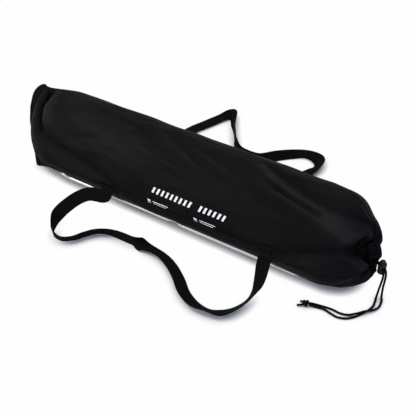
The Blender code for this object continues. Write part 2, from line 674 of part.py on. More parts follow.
def build_lock():
    """A barrel with a sprung plunger; both have a slot that the two cords run through."""
    frame = lock_frame()
    bore = LOCK_RADIUS - LOCK_WALL
    barrel = turned("cord_lock_barrel", [
        (0.0, -LOCK_BELOW_CORD), (LOCK_RADIUS - 0.0015, -LOCK_BELOW_CORD),
        (LOCK_RADIUS, -LOCK_BELOW_CORD + 0.0015), (LOCK_RADIUS, LOCK_ABOVE_CORD - 0.0006),
        (LOCK_RADIUS - 0.0006, LOCK_ABOVE_CORD), (bore, LOCK_ABOVE_CORD),
        (bore, -LOCK_BELOW_CORD + LOCK_FLOOR), (0.0, -LOCK_BELOW_CORD + LOCK_FLOOR)], frame, LOCK_PLASTIC)
    slot_width = CORD_PITCH + CORD_DIAMETER + 2.0 * CLEAR
    slot_height = CORD_DIAMETER + 2.0 * CLEAR
    slot_length = 2.0 * LOCK_RADIUS + 0.004
    cut_slot(barrel, "barrel_slot_cutter", (slot_length, slot_width, slot_height), (0.0, 0.0, 0.0), frame)
    plunger_radius = bore - CLEAR
    top = LOCK_ABOVE_CORD + PLUNGER_ABOVE_BARREL
    plunger = turned("cord_lock_plunger", [
        (0.0, -PLUNGER_BELOW_CORD), (plunger_radius, -PLUNGER_BELOW_CORD),
        (plunger_radius, top - 0.0024), (plunger_radius * 0.86, top - 0.0010),
        (plunger_radius * 0.52, top - 0.0002), (0.0, top)], frame, LOCK_PLASTIC)
    plunger_slot = slot_height + PLUNGER_TRAVEL
    cut_slot(plunger, "plunger_slot_cutter", (slot_length, slot_width, plunger_slot),
             (0.0, 0.0, PLUNGER_TRAVEL / 2.0), frame)
    low = -LOCK_BELOW_CORD + LOCK_FLOOR + CLEAR + SPRING_WIRE / 2.0
    high = -PLUNGER_BELOW_CORD - CLEAR - SPRING_WIRE / 2.0
    coil = []
    count = round(SPRING_TURNS * 10)
    for step in range(count + 1):
        angle = 2.0 * math.pi * SPRING_TURNS * step / count
        height = low + (high - low) * step / count
        coil.append(frame @ Vector((SPRING_RADIUS * math.cos(angle), SPRING_RADIUS * math.sin(angle), height)))
    tube("cord_lock_spring", coil, SPRING_WIRE, STEEL, bevel_resolution=1)


def build_drawstring():
    """The cord round the hem, with both ends in the lock, and the two tails that hang from it."""
    frame = lock_frame()
    legs = []
    for side in (-1.0, 1.0):
        y = side * CORD_PITCH / 2.0
        legs.append([frame @ Vector((LOCK_RADIUS - 0.00025, y, 0.0)), frame @ Vector((0.0, y, 0.0)),
                     frame @ Vector((-LOCK_RADIUS, y, 0.0))])
    gap = HEM_GAP * 0.95
    ring = [hem_point(angle, 0.0, 0.0) for angle in spread(math.pi - gap, -math.pi + gap, 29)]
    front_leg = follow(FRONT_LEG_ROUTE, ring[0], legs[0][2])[1:-1]
    rear_leg = follow(REAR_LEG_ROUTE, ring[-1], legs[1][2])[1:-1]
    route = legs[0] + list(reversed(front_leg)) + ring + rear_leg + list(reversed(legs[1]))
    tube("drawstring_in_hem", smooth_curve(route, 0.0045), CORD_DIAMETER, CORD)
    ends = []
    for name, side, route in (("drawstring_tail_a", -1.0, TAIL_A_ROUTE), ("drawstring_tail_b", 1.0, TAIL_B_ROUTE)):
        start = frame @ Vector((LOCK_RADIUS + 0.00005, side * CORD_PITCH / 2.0, 0.0))
        move = start - Vector(route[0]) * MM
        end = Vector(route[-1]) * MM + Vector((move.x, move.y, 0.0))
        path = follow(route, start, end)
        path[1] = frame @ Vector((LOCK_RADIUS + 0.0024, side * CORD_PITCH / 2.0, 0.0))
        tube(name, smooth_curve(path, 0.0066), CORD_DIAMETER, CORD)
        ends.append(path[-1])
    build_knot((ends[0] + ends[1]) / 2.0)


def build_knot(cord_end):
    """The overhand knot that ties both tails together, a lump with two short cord ends."""
    axis = Vector(KNOT_AXIS).normalized()
    centre = cord_end + axis * (KNOT_RADIUS * 0.85 + 2.0 * CLEAR)
    centre.z = KNOT_RADIUS
    frame = axis_frame(centre, axis, (0.0, 0.0, 1.0))
    turned("drawstring_knot", [
        (0.0, -KNOT_RADIUS * 0.85), (KNOT_RADIUS * 0.72, -KNOT_RADIUS * 0.70), (KNOT_RADIUS, -KNOT_RADIUS * 0.15),
        (KNOT_RADIUS * 0.96, KNOT_RADIUS * 0.35), (KNOT_RADIUS * 0.70, KNOT_RADIUS * 0.85),
        (KNOT_RADIUS * 0.42, KNOT_RADIUS * 1.25), (KNOT_RADIUS * 0.36, KNOT_RADIUS * 2.30),
        (0.0, KNOT_RADIUS * 2.35)], frame, CORD, steps=12)


# Contents
PACK_RADIUS = min(CLOSED_RADIUS, MOUTH_RADIUS) - WALL - PACK_EASE
POLE_ROW = PACK_RADIUS - POLE_RADIUS
POLE_ROW_STEP = 2.0 * math.asin((POLE_RADIUS + POLE_GAP / 2.0) / POLE_ROW)
PACK_Z = WALL + CLEAR + POLE_ROW * math.cos(POLE_ROW_STEP / 2.0) + POLE_RADIUS


def pack_place(angle_from_bottom, radius):
    return Vector((0.0, -radius * math.sin(angle_from_bottom), PACK_Z - radius * math.cos(angle_from_bottom)))


def upper_pole_radius():
    """Distance from the pack's middle of a pole that lies in the groove between two lower poles."""
    half_step = POLE_ROW_STEP / 2.0
    rise = math.sqrt((2.0 * POLE_RADIUS + CLEAR) ** 2 - (POLE_ROW * math.sin(half_step)) ** 2)
    return POLE_ROW * math.cos(half_step) - rise


def pole_places():
    """Six poles side by side on the bag's floor and two in the grooves above them."""
    places = [pack_place(POLE_ROW_STEP * (index - 2.5), POLE_ROW) for index in range(6)]
    places += [pack_place(side * POLE_ROW_STEP, upper_pole_radius()) for side in (-1.0, 1.0)]
    return places


def roll_centre_and_radius():
    """The largest roll that rests on the two upper poles and clears the bag's top."""
    upper = pole_places()[6]
    depth = PACK_Z - upper.z
    aside = abs(upper.y)
    reach = PACK_RADIUS - CLEAR + POLE_RADIUS + CLEAR
    lift = (reach ** 2 - aside ** 2 - depth ** 2) / (2.0 * (depth + reach))
    return PACK_Z + lift, PACK_RADIUS - CLEAR - lift


def along_x(x, y, z):
    return axis_frame((x, y, z), (1.0, 0.0, 0.0), (0.0, 1.0, 0.0))


def build_poles():
    """Two poles of four sections that plug together; the sections lie side by side in the bag."""
    spigot_radius = POLE_RADIUS - POLE_WALL - CLEAR
    bore = POLE_RADIUS - POLE_WALL
    small_bore = spigot_radius - POLE_WALL
    places = pole_places()
    order = {"a": (2, 1, 0, 6), "b": (3, 4, 5, 7)}
    for pole, indices in order.items():
        for section, index in enumerate(indices, start=1):
            place = places[index]
            frame = along_x(POLE_START_X, place.y, place.z)
            name = f"pole_{pole}_section_{section}"
            if section < 4:
                body = POLE_LENGTH - POLE_SPIGOT
                turned(name, [
                    (bore, 0.0), (POLE_RADIUS, 0.0), (POLE_RADIUS, body - 0.003), (spigot_radius, body),
                    (spigot_radius, POLE_LENGTH), (small_bore, POLE_LENGTH), (small_bore, body), (bore, body - 0.003)],
                    frame, STEEL, steps=POLE_STEPS)
            else:
                turned(name, [
                    (bore, 0.0), (POLE_RADIUS, 0.0), (POLE_RADIUS, POLE_LENGTH - POLE_SPIGOT),
                    (bore, POLE_LENGTH - POLE_SPIGOT)], frame, STEEL, steps=POLE_STEPS)
        foot = places[indices[0]]
        turned(f"pole_{pole}_foot", [
            (0.0, -FOOT_LENGTH), (POLE_RADIUS - 0.0015, -FOOT_LENGTH), (POLE_RADIUS, -FOOT_LENGTH + 0.0020),
            (POLE_RADIUS, -CLEAR), (bore - CLEAR, -CLEAR), (bore - CLEAR, PLUG_DEPTH), (0.0, PLUG_DEPTH)],
            along_x(POLE_START_X, foot.y, foot.z), RUBBER, steps=POLE_STEPS)
        tip = places[indices[3]]
        turned(f"pole_{pole}_tip", [
            (0.0, -PLUG_DEPTH), (bore - CLEAR, -PLUG_DEPTH), (bore - CLEAR, CLEAR), (POLE_RADIUS, CLEAR),
            (POLE_RADIUS, TIP_COLLAR - 0.0010), (POLE_RADIUS - 0.0010, TIP_COLLAR), (TIP_PIN_RADIUS, TIP_COLLAR),
            (TIP_PIN_RADIUS, TIP_COLLAR + TIP_PIN_LENGTH - 0.002), (0.0, TIP_COLLAR + TIP_PIN_LENGTH)],
            along_x(POLE_START_X + POLE_LENGTH - POLE_SPIGOT, tip.y, tip.z), STEEL, steps=POLE_STEPS)


def build_roll():
    """The folded canopy, rolled up, and the two ties that hold it."""
    centre_z, tied_radius = roll_centre_and_radius()
    roll_radius = tied_radius - TIE_THICKNESS - CLEAR
    pitch = ROLL_LAYER + 0.0004
    core = roll_radius - ROLL_TURNS * pitch
    steps = 20
    outer, inner = [], []
    for step in range(ROLL_TURNS * steps + 1):
        angle = 2.0 * math.pi * step / steps
        radius = core + pitch * step / steps
        outer.append((radius, angle))
        inner.append((radius - ROLL_LAYER, angle))
    ring = outer + list(reversed(inner))
    sections = []
    for x in (ROLL_START_X, ROLL_START_X + ROLL_LENGTH):
        sections.append([Vector((x, radius * math.sin(angle), centre_z + radius * math.cos(angle)))
                         for radius, angle in ring])
    count = len(ring)
    half = len(outer)
    vertices = sections[0] + sections[1]
    faces = grid_faces(0, 2, count, wrap_columns=True)
    for first in (0, count):
        for index in range(half - 1):
            quad = (first + index, first + index + 1, first + count - 2 - index, first + count - 1 - index)
            faces.append(quad if first == 0 else tuple(reversed(quad)))
    add_object("canopy_roll", vertices, faces, CANOPY_FABRIC)
    for name, x in (("roll_tie_closed", ROLL_START_X + TIE_INSET),
                    ("roll_tie_mouth", ROLL_START_X + ROLL_LENGTH - TIE_INSET)):
        turned(name, [
            (roll_radius + CLEAR, -TIE_WIDTH / 2.0), (tied_radius, -TIE_WIDTH / 2.0),
            (tied_radius, TIE_WIDTH / 2.0), (roll_radius + CLEAR, TIE_WIDTH / 2.0)],
            along_x(x, 0.0, centre_z), WEBBING, steps=40)


def build_pegs():
    """Four steel pegs beside the outer poles, against the bag's sides, two in line on each side."""
    shank_angle = 2.5 * POLE_ROW_STEP + (POLE_RADIUS + PEG_RADIUS + 2.0 * CLEAR) / POLE_ROW
    for index in range(4):
        side = -1.0 if index < 2 else 1.0
        start_x = PEG_FIRST_X + PEG_SPACING * (index % 2)
        reach = tube_radius(start_x) - WALL - PEG_EASE - PEG_RADIUS
        middle_z = tube_radius(start_x) - FLAT_DEPTH
        hook_angle = shank_angle + PEG_HOOK / reach
        shank, hook = [Vector((0.0, side * reach * math.sin(angle), middle_z - reach * math.cos(angle)))
                       for angle in (shank_angle, hook_angle)]
        upward = (hook - shank).normalized()
        path = [Vector((start_x + PEG_LENGTH, shank.y, shank.z)), Vector((start_x + PEG_LENGTH * 0.5, shank.y, shank.z))]
        for step in range(7):
            turn = math.pi / 2.0 * step / 6
            corner = Vector((start_x + PEG_BEND, shank.y, shank.z))
            path.append(corner + Vector((-PEG_BEND * math.sin(turn), 0.0, 0.0))
                        + upward * PEG_BEND * (1.0 - math.cos(turn)))
        path.append(Vector((start_x, 0.0, 0.0)) + Vector((0.0, hook.y, hook.z)))
        peg_body(f"ground_peg_{index + 1}", path)


def peg_body(name, path):
    """A round bar along a path, drawn to a point at its first end."""
    sections = []
    side = None
    for index, point in enumerate(path):
        along = (path[min(index + 1, len(path) - 1)] - path[max(index - 1, 0)]).normalized()
        side = Vector((0.0, 0.0, 1.0)) if side is None else side
        if abs(along.dot(side)) > 0.9:
            side = Vector((0.0, 1.0, 0.0))
        across = (side - along * side.dot(along)).normalized()
        side = across
        other = along.cross(across)
        rings = [(point, PEG_RADIUS)]
        if index == 0:
            rings = [(point, PEG_RADIUS * 0.2), (point + along * PEG_POINT, PEG_RADIUS)]
        for middle, radius in rings:
            sections.append([middle + (across * math.cos(turn) + other * math.sin(turn)) * radius
                             for turn in [2.0 * math.pi * step / 10 for step in range(10)]])
    swept_loop(name, sections, STEEL)


def build_suction_cups():
    """Two suction cups that hold the canopy to the car, and the hook that clips on each."""
    upper = pole_places()[6]
    rise = math.sqrt((CUP_RADIUS + POLE_RADIUS + CLEAR) ** 2 - upper.y ** 2)
    centre_z = upper.z + rise
    start_x = ROLL_START_X + ROLL_LENGTH + CLEAR
    depth = CUP_HEIGHT + CUP_NECK_HEIGHT
    neck = CUP_NECK_RADIUS * 0.7
    edge = CUP_RADIUS * 0.55
    reach_in = CUP_CAVITY - (CUP_CAVITY - CUP_CAVITY_EDGE) * neck / edge - 1.5 * CLEAR
    for index in range(2):
        frame = along_x(start_x + index * (depth - reach_in), 0.0, centre_z)
        turned(f"suction_cup_{index + 1}", [
            (0.0, CUP_CAVITY), (edge, CUP_CAVITY_EDGE), (CUP_RADIUS - CUP_SHELL, 0.0),
            (CUP_RADIUS, 0.0), (CUP_RADIUS - 0.0010, 0.0018), (CUP_RADIUS * 0.60, CUP_HEIGHT - 0.0030),
            (CUP_NECK_RADIUS, CUP_HEIGHT), (neck, CUP_HEIGHT),
            (neck, depth), (0.0, depth)], frame, CLEAR_RUBBER, steps=24)
        turned(f"suction_hook_{index + 1}", [
            (neck + CLEAR, CUP_HEIGHT + CLEAR), (HOOK_PLATE_RADIUS, CUP_HEIGHT + CLEAR),
            (HOOK_PLATE_RADIUS, CUP_HEIGHT + HOOK_PLATE), (neck + CLEAR, CUP_HEIGHT + HOOK_PLATE)],
            frame, LOCK_PLASTIC, steps=24)


build_panels()
build_end_flange()
build_welt("front_seam_welt", 1.0)
build_welt("rear_seam_welt", -1.0)
build_handle("front_handle", 1.0, FRONT_ROUTE)
build_handle("rear_handle", -1.0, REAR_ROUTE)
build_hem()
build_lock()
build_drawstring()
build_poles()
build_roll()
build_pegs()
build_suction_cups()
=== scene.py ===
# %% [markdown]
# # A vehicle awning in its carry bag
# The awning lies packed on the floor: a black drawstring bag, as long as a forearm and a hand, with two
# webbing handles. Everything that the awning needs is inside, rolled up or laid side by side.
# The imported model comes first. It fixes where each piece is and how it moves, so this file only
# dresses it: cloth that sags and creases, webbing, cord, stitches, and the finish of every surface.

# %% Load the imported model
import math

import bpy
import numpy as np
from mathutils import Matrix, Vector, noise


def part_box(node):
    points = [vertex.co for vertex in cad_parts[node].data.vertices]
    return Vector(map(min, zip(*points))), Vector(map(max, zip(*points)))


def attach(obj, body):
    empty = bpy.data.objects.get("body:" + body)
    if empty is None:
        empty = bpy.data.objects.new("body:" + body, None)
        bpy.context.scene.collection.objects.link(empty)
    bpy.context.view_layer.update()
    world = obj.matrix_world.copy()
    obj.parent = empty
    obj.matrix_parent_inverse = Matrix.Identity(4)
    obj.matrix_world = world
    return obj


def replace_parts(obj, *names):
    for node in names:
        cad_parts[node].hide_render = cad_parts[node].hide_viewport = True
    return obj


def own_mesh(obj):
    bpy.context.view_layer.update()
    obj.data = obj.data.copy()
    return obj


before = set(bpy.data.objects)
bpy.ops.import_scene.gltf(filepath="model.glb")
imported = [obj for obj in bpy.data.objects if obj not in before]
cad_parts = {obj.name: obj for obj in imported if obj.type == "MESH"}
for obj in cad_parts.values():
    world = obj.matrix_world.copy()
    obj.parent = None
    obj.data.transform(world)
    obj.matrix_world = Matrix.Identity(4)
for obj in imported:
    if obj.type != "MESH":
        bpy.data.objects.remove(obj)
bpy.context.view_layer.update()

MM = 0.001

# %% [markdown]
# ## Camera
# A long lens from a metre and a half away, above the bag and a little to the right of its middle, is what a
# catalogue photographer would choose: it keeps both ends of a long object nearly the same size. The lens is
# given by its focal length on a 36 mm wide square picture, so the picture's size never enters the script.

# %% Camera
camera_data = bpy.data.cameras.new("catalogue_camera")
camera_data.sensor_fit = "HORIZONTAL"
camera_data.sensor_width = 36.0
camera_data.lens = 79.53
camera = bpy.data.objects.new("catalogue_camera", camera_data)
camera.location = (0.5322, -0.8410, 0.9170)
camera.rotation_euler = (math.radians(48.0), 0.0, math.radians(31.59))
bpy.context.scene.collection.objects.link(camera)
bpy.context.scene.camera = camera
print("lens", camera_data.lens, "mm, height", round(camera.location.z, 3), "m")

# %% [markdown]
# ## How a finish is written
# A finish here is a small tree of shader nodes. One helper turns a colour as a painter would pick it on a
# screen, a hex value in sRGB, into the linear numbers that light is counted in. Another adds one node with
# its settings and fills its inputs, each with a number, a colour or the node that it comes from. A pattern
# takes its scale from real millimetres, because every cloth mesh below carries a UV map that is measured in
# metres.

# %% Colour and node helpers
def linear(hex_colour):
    parts = [int(hex_colour[place:place + 2], 16) / 255.0 for place in (1, 3, 5)]
    parts = [part / 12.92 if part <= 0.04045 else ((part + 0.055) / 1.055) ** 2.4 for part in parts]
    return (*parts, 1.0)


def fill_inputs(tree, node, values):
    """Sets a node's inputs by name or number, each to a number, a hex colour, another node or its output."""
    for key, value in values.items():
        if isinstance(value, bpy.types.Node):
            value = value.outputs[0]
        if isinstance(value, bpy.types.NodeSocket):
            tree.links.new(value, node.inputs[key])
        else:
            node.inputs[key].default_value = linear(value) if isinstance(value, str) else value


def add_node(tree, kind, values=None, **settings):
    node = tree.nodes.new("ShaderNode" + kind)
    for name, setting in settings.items():
        setattr(node, name, setting)
    fill_inputs(tree, node, values or {})
    return node


def start_finish(name):
    material = bpy.data.materials.new(name)
    material.use_nodes = True
    tree = material.node_tree
    return material, tree, tree.nodes["Principled BSDF"]


print("mid grey #808080 is", round(linear("#808080")[0], 3), "in linear light")

# %% [markdown]
# ## Coated polyester
# The bag is plain-woven polyester with a thin polyurethane coating on its inside. From a step away the weave
# can't be told apart, and what the eye gets is a soft black with a dull silk shine that lights up on every
# fold. Here that shine is a painted highlight: the gloss itself is set almost to nothing, and the colour is
# lighter on the crest of a fold. Its yarns lie about 0.3 mm apart, which is too fine to show in a picture of
# the whole bag, so the weave is drawn at 0.9 mm. Crinkles a few millimetres wide come from a stretched
# noise, because coated cloth keeps the memory of how it was folded. The bottom of a fold gets a darker
# colour, a painted shade. The mesh of the bag tells the material how high each place stands, in
# millimetres, with a value named fold_height. Ambient occlusion paints more shade into the colour of
# pleats and creases, where light that falls in hardly comes out again.

# %% Coated polyester
YARN_SPACING = 0.9 * MM
CRINKLE_SIZE = 14.0 * MM
DYE_PATCH_SIZE = 60.0 * MM
# Painted highlight on fold crests: it starts at the first height and is full at the second, in mm, where it mixes
# in the last share of the crest colour
PAINTED_HIGHLIGHT_FROM, PAINTED_HIGHLIGHT_AT, PAINTED_HIGHLIGHT_MOST = 0.2, 3.2, 0.45
# Painted shade in fold bottoms: at the first depth, in mm, the colour falls to the second share
VALLEY_FLOOR, DARKEST_VALLEY_SHADE = -9.0, 0.3
AIR_REACH = 16.0 * MM


def cloth_sides(tree):
    """The UV place on a piece of cloth, whole and as its along and across parts."""
    cloth = add_node(tree, "UVMap", uv_map="cloth")
    sides = add_node(tree, "SeparateXYZ", {0: cloth})
    return cloth, sides.outputs[0], sides.outputs[1]


def ripple(tree, position, spacing):
    """A wave along one UV direction, one crest per spacing."""
    turns = add_node(tree, "Math", {0: position, 1: 2.0 * math.pi / spacing}, operation="MULTIPLY")
    return add_node(tree, "Math", {0: turns}, operation="SINE")


def coated_polyester(name, black, lighter_black, crest_highlight):
    material, tree, shader = start_finish(name)
    cloth, along, across = cloth_sides(tree)
    yarns = {0: ripple(tree, along, YARN_SPACING), 1: ripple(tree, across, YARN_SPACING)}
    weave = add_node(tree, "Math", yarns, operation="MULTIPLY")
    stretched = add_node(tree, "Mapping", {0: cloth, "Scale": (0.35, 1.0, 1.0)})
    crinkles = add_node(tree, "TexNoise", {0: stretched, "Scale": 1.0 / CRINKLE_SIZE, "Detail": 4.0,
                                           "Roughness": 0.55, "Distortion": 0.4})
    dye = add_node(tree, "TexNoise", {0: cloth, "Scale": 1.0 / DYE_PATCH_SIZE, "Detail": 3.0})
    dyed = add_node(tree, "MixRGB", {0: dye, 1: black, 2: lighter_black})
    fold = add_node(tree, "Attribute", attribute_name="fold_height").outputs["Fac"]
    # Painted highlight: the crests of folds get a lighter colour in place of a real sheen
    crest_highlight_share = add_node(tree, "MapRange", {0: fold, 1: PAINTED_HIGHLIGHT_FROM, 2: PAINTED_HIGHLIGHT_AT, 3: 0.0, 4: PAINTED_HIGHLIGHT_MOST})
    with_crest_highlight = add_node(tree, "MixRGB", {0: crest_highlight_share, 1: dyed, 2: crest_highlight})
    # Painted shade: the bottoms of folds get a darker colour
    valley_shade = add_node(tree, "MapRange", {0: fold, 1: VALLEY_FLOOR, 2: 0.0, 3: DARKEST_VALLEY_SHADE, 4: 1.0})
    # Painted shade: ambient occlusion darkens the colour in pleats and creases
    air = add_node(tree, "AmbientOcclusion", {"Distance": AIR_REACH}, samples=8).outputs["AO"]
    open_air = add_node(tree, "MapRange", {0: air, 1: 0.35, 2: 0.95, 3: 0.4, 4: 1.0})
    light = add_node(tree, "Math", {0: open_air, 1: valley_shade}, operation="MULTIPLY")
    creased = add_node(tree, "Bump", {"Height": crinkles, "Distance": 1.7 * MM, "Strength": 0.7})
    fill_inputs(tree, shader, {
        "Base Color": add_node(tree, "MixRGB", {0: light, 1: "#000000", 2: with_crest_highlight}),
        "Roughness": add_node(tree, "MapRange", {0: crinkles, 3: 0.44, 4: 0.60}),
        "Normal": add_node(tree, "Bump", {"Height": weave, "Distance": 0.06 * MM, "Strength": 0.35,
                                          "Normal": creased}),
        "Specular IOR Level": 0.007})
    return material


# The third colour is the painted highlight on fold crests
BAG_CLOTH = coated_polyester("coated_polyester_black", "#0e0e0e", "#191919", "#282827")
print("bag cloth:", BAG_CLOTH.name, "with", len(BAG_CLOTH.node_tree.nodes), "nodes")

# %% [markdown]
# ## Webbing, cord and thread
# The handles are polypropylene webbing, woven flat and 20 mm wide. Its yarns are thick and dull, and the
# weave runs in lengthwise ribs about 2 mm apart with a fine step across. The drawstring is a braided
# polyester cord of 3 mm: eight strands that cross each other in two spirals. The thread of the seams is
# spun polyester. All three scatter light in their fibres, so they are rougher than the coated cloth.

# %% Webbing, cord and thread
RIB_SPACING, STEP_SPACING = 2.0 * MM, 1.3 * MM
STRAND_SPACING = 2.36 * MM
FUZZ_SIZE, THREAD_TWIST = 1.5 * MM, 0.6 * MM


def polypropylene_webbing():
    material, tree, shader = start_finish("polypropylene_webbing_black")
    cloth, along, across = cloth_sides(tree)
    slanted = add_node(tree, "Math", {0: along, 1: across}, operation="ADD")
    steps = add_node(tree, "Math", {0: ripple(tree, slanted, STEP_SPACING), 1: 0.5}, operation="MULTIPLY")
    weave = add_node(tree, "Math", {0: ripple(tree, across, RIB_SPACING), 1: steps}, operation="ADD")
    fuzz = add_node(tree, "TexNoise", {0: cloth, "Scale": 1.0 / FUZZ_SIZE, "Detail": 2.0})
    crest = add_node(tree, "MapRange", {0: weave, 1: -1.4, 2: 1.4})
    shade = add_node(tree, "Math", {0: crest, 1: fuzz}, operation="MULTIPLY")
    fill_inputs(tree, shader, {
        "Base Color": add_node(tree, "MixRGB", {0: shade, 1: "#080808", 2: "#121211"}),
        "Normal": add_node(tree, "Bump", {"Height": weave, "Distance": 0.16 * MM, "Strength": 0.6}),
        "Roughness": 0.85, "Specular IOR Level": 0.03})
    return material


def braided_polyester():
    material, tree, shader = start_finish("braided_polyester_cord_black")
    _, along, across = cloth_sides(tree)
    spirals = {}
    for number, turn in enumerate(("ADD", "SUBTRACT")):
        winding = add_node(tree, "Math", {0: along, 1: across}, operation=turn)
        spirals[number] = ripple(tree, winding, STRAND_SPACING)
    strands = add_node(tree, "Math", spirals, operation="MAXIMUM")
    crest = add_node(tree, "MapRange", {0: strands, 1: -0.4, 2: 1.0})
    fill_inputs(tree, shader, {
        "Base Color": add_node(tree, "MixRGB", {0: crest, 1: "#050505", 2: "#0d0d0d"}),
        "Normal": add_node(tree, "Bump", {"Height": strands, "Distance": 0.25 * MM, "Strength": 0.7}),
        "Roughness": 0.72, "Specular IOR Level": 0.04})
    return material


def spun_thread():
    material, tree, shader = start_finish("spun_polyester_thread_black")
    place = add_node(tree, "TexCoord").outputs["Object"]
    twist = add_node(tree, "TexNoise", {0: place, "Scale": 1.0 / THREAD_TWIST})
    fill_inputs(tree, shader, {
        "Base Color": add_node(tree, "MixRGB", {0: twist, 1: "#0d0d0d", 2: "#171717"}),
        "Roughness": 0.7, "Specular IOR Level": 0.06})
    return material


WEBBING = polypropylene_webbing()
CORD = braided_polyester()
THREAD = spun_thread()
print("soft finishes:", WEBBING.name, CORD.name, THREAD.name)

# %% [markdown]
# ## Building cloth from grids and sweeps
# Two helpers make every mesh but the stitches. A grid joins rows and columns of points into a sheet, which
# suits the bag. A sweep carries a ring of points along a path, which suits cord and webbing. Both also write
# the UV map named cloth, in metres along and across the piece, so that no finish has to know the shape it
# lies on.

# %% Mesh helpers
UP = Vector((0.0, 0.0, 1.0))


def mesh_object(name, points, faces, finish, uv=None, body="bag", slot=None, smooth=60.0):
    """A mesh piece that moves with a body. Edges sharper than smooth, in degrees, stay sharp."""
    mesh = bpy.data.meshes.new(name)
    mesh.from_pydata([tuple(point) for point in points], [], faces)
    if uv is not None:
        layer = mesh.uv_layers.new(name="cloth")
        layer.data.foreach_set("uv", np.asarray(uv, dtype=np.float32).ravel())
    mesh.materials.append(finish)
    mesh.shade_smooth()
    mesh.set_sharp_from_angle(angle=math.radians(smooth))
    thing = bpy.data.objects.new(name, mesh)
    bpy.context.scene.collection.objects.link(thing)
    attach(thing, body)
    return thing


def cloth_grid(name, points, along, across, finish, wrap=False, **options):
    """A sheet from points[row][column].

    Along holds the UV place of each row, and across that of each column, with one more if the sheet wraps.
    """
    rows, columns = points.shape[:2]
    faces, uv = [], []
    for row in range(rows - 1):
        for column in range(columns if wrap else columns - 1):
            after = (column + 1) % columns
            faces.append((row * columns + column, row * columns + after,
                          (row + 1) * columns + after, (row + 1) * columns + column))
            uv += [(along[row], across[column]), (along[row], across[column + 1]),
                   (along[row + 1], across[column + 1]), (along[row + 1], across[column])]
    return mesh_object(name, points.reshape(-1, 3), faces, finish, uv, **options)


def smooth_path(points, spacing, pace=None):
    """Points about one spacing apart on a Catmull-Rom curve. With a pace, its steps are that list's."""
    points = [Vector(point) for point in points]
    pace = [Vector(point) for point in (pace or points)]
    ends = [2.0 * points[0] - points[1]] + points + [2.0 * points[-1] - points[-2]]
    curve = []
    for index in range(1, len(ends) - 2):
        before, start, end, after = ends[index - 1:index + 3]
        pieces = max(1, round((pace[index] - pace[index - 1]).length / spacing))
        for t in [piece / pieces for piece in range(pieces)]:
            curve.append(0.5 * (2.0 * start + (end - before) * t
                                + (2.0 * before - 5.0 * start + 4.0 * end - after) * t ** 2
                                + (3.0 * start - before - 3.0 * end + after) * t ** 3))
    return curve + [points[-1]]


def path_length(path):
    return sum((after - before).length for before, after in zip(path, path[1:]))


def forward_at(path, index):
    return (path[min(index + 1, len(path) - 1)] - path[max(index - 1, 0)]).normalized()


def sweep(name, path, sides, ring, girth, finish, **options):
    """A closed body that carries a ring of (across, out) points along a path, with caps at both ends.

    Sides holds the across direction at every point of the path, and girth the UV place of each ring point.
    """
    count = len(ring)
    points, along, walked = [], [], 0.0
    for index, point in enumerate(path):
        forward = forward_at(path, index)
        side = (sides[index] - forward * sides[index].dot(forward)).normalized()
        out = forward.cross(side)
        walked += (point - path[index - 1]).length if index else 0.0
        along.append(walked)
        points += [point + side * a + out * b for a, b in ring]
    faces, uv = [], []
    for row in range(len(path) - 1):
        for column in range(count):
            after = (column + 1) % count
            faces.append((row * count + column, row * count + after,
                          (row + 1) * count + after, (row + 1) * count + column))
            uv += [(along[row], girth[column]), (along[row], girth[column + 1]),
                   (along[row + 1], girth[column + 1]), (along[row + 1], girth[column])]
    last = (len(path) - 1) * count
    faces += [tuple(reversed(range(count))), tuple(range(last, last + count))]
    uv += [(along[0], girth[column]) for column in reversed(range(count))]
    uv += [(along[-1], girth[column]) for column in range(count)]
    return mesh_object(name, points, faces, finish, uv, **options)


def level_sides(path):
    """Across directions for a round cord, turned as little as possible from one point to the next."""
    side = UP.cross(path[1] - path[0])
    side = side if side.length > 1e-6 else Vector((1.0, 0.0, 0.0))
    sides = []
    for index in range(len(path)):
        forward = forward_at(path, index)
        side = (side - forward * side.dot(forward)).normalized()
        sides.append(side.copy())
    return sides


def round_cord(name, path, diameter, finish=CORD, steps=14, **options):
    radius = diameter / 2.0
    turns = [2.0 * math.pi * step / steps for step in range(steps)]
    ring = [(radius * math.cos(turn), radius * math.sin(turn)) for turn in turns]
    girth = [radius * 2.0 * math.pi * step / steps for step in range(steps + 1)]
    return sweep(name, path, level_sides(path), ring, girth, finish, **options)


print("mesh helpers are ready")

# %% [markdown]
# ## The drawstring
# One length of 3 mm braided cord runs through the hem of the mouth. Both its ends pass the cord lock, hang
# from it to the floor, sweep forward in two loose curves that cross, and are tied together in one overhand
# knot, so the lock can't slip off. The routes are the ones that the model's own cords follow, given here
# point by point in millimetres. Limp cord goes down at once under its own weight and lies on the floor.

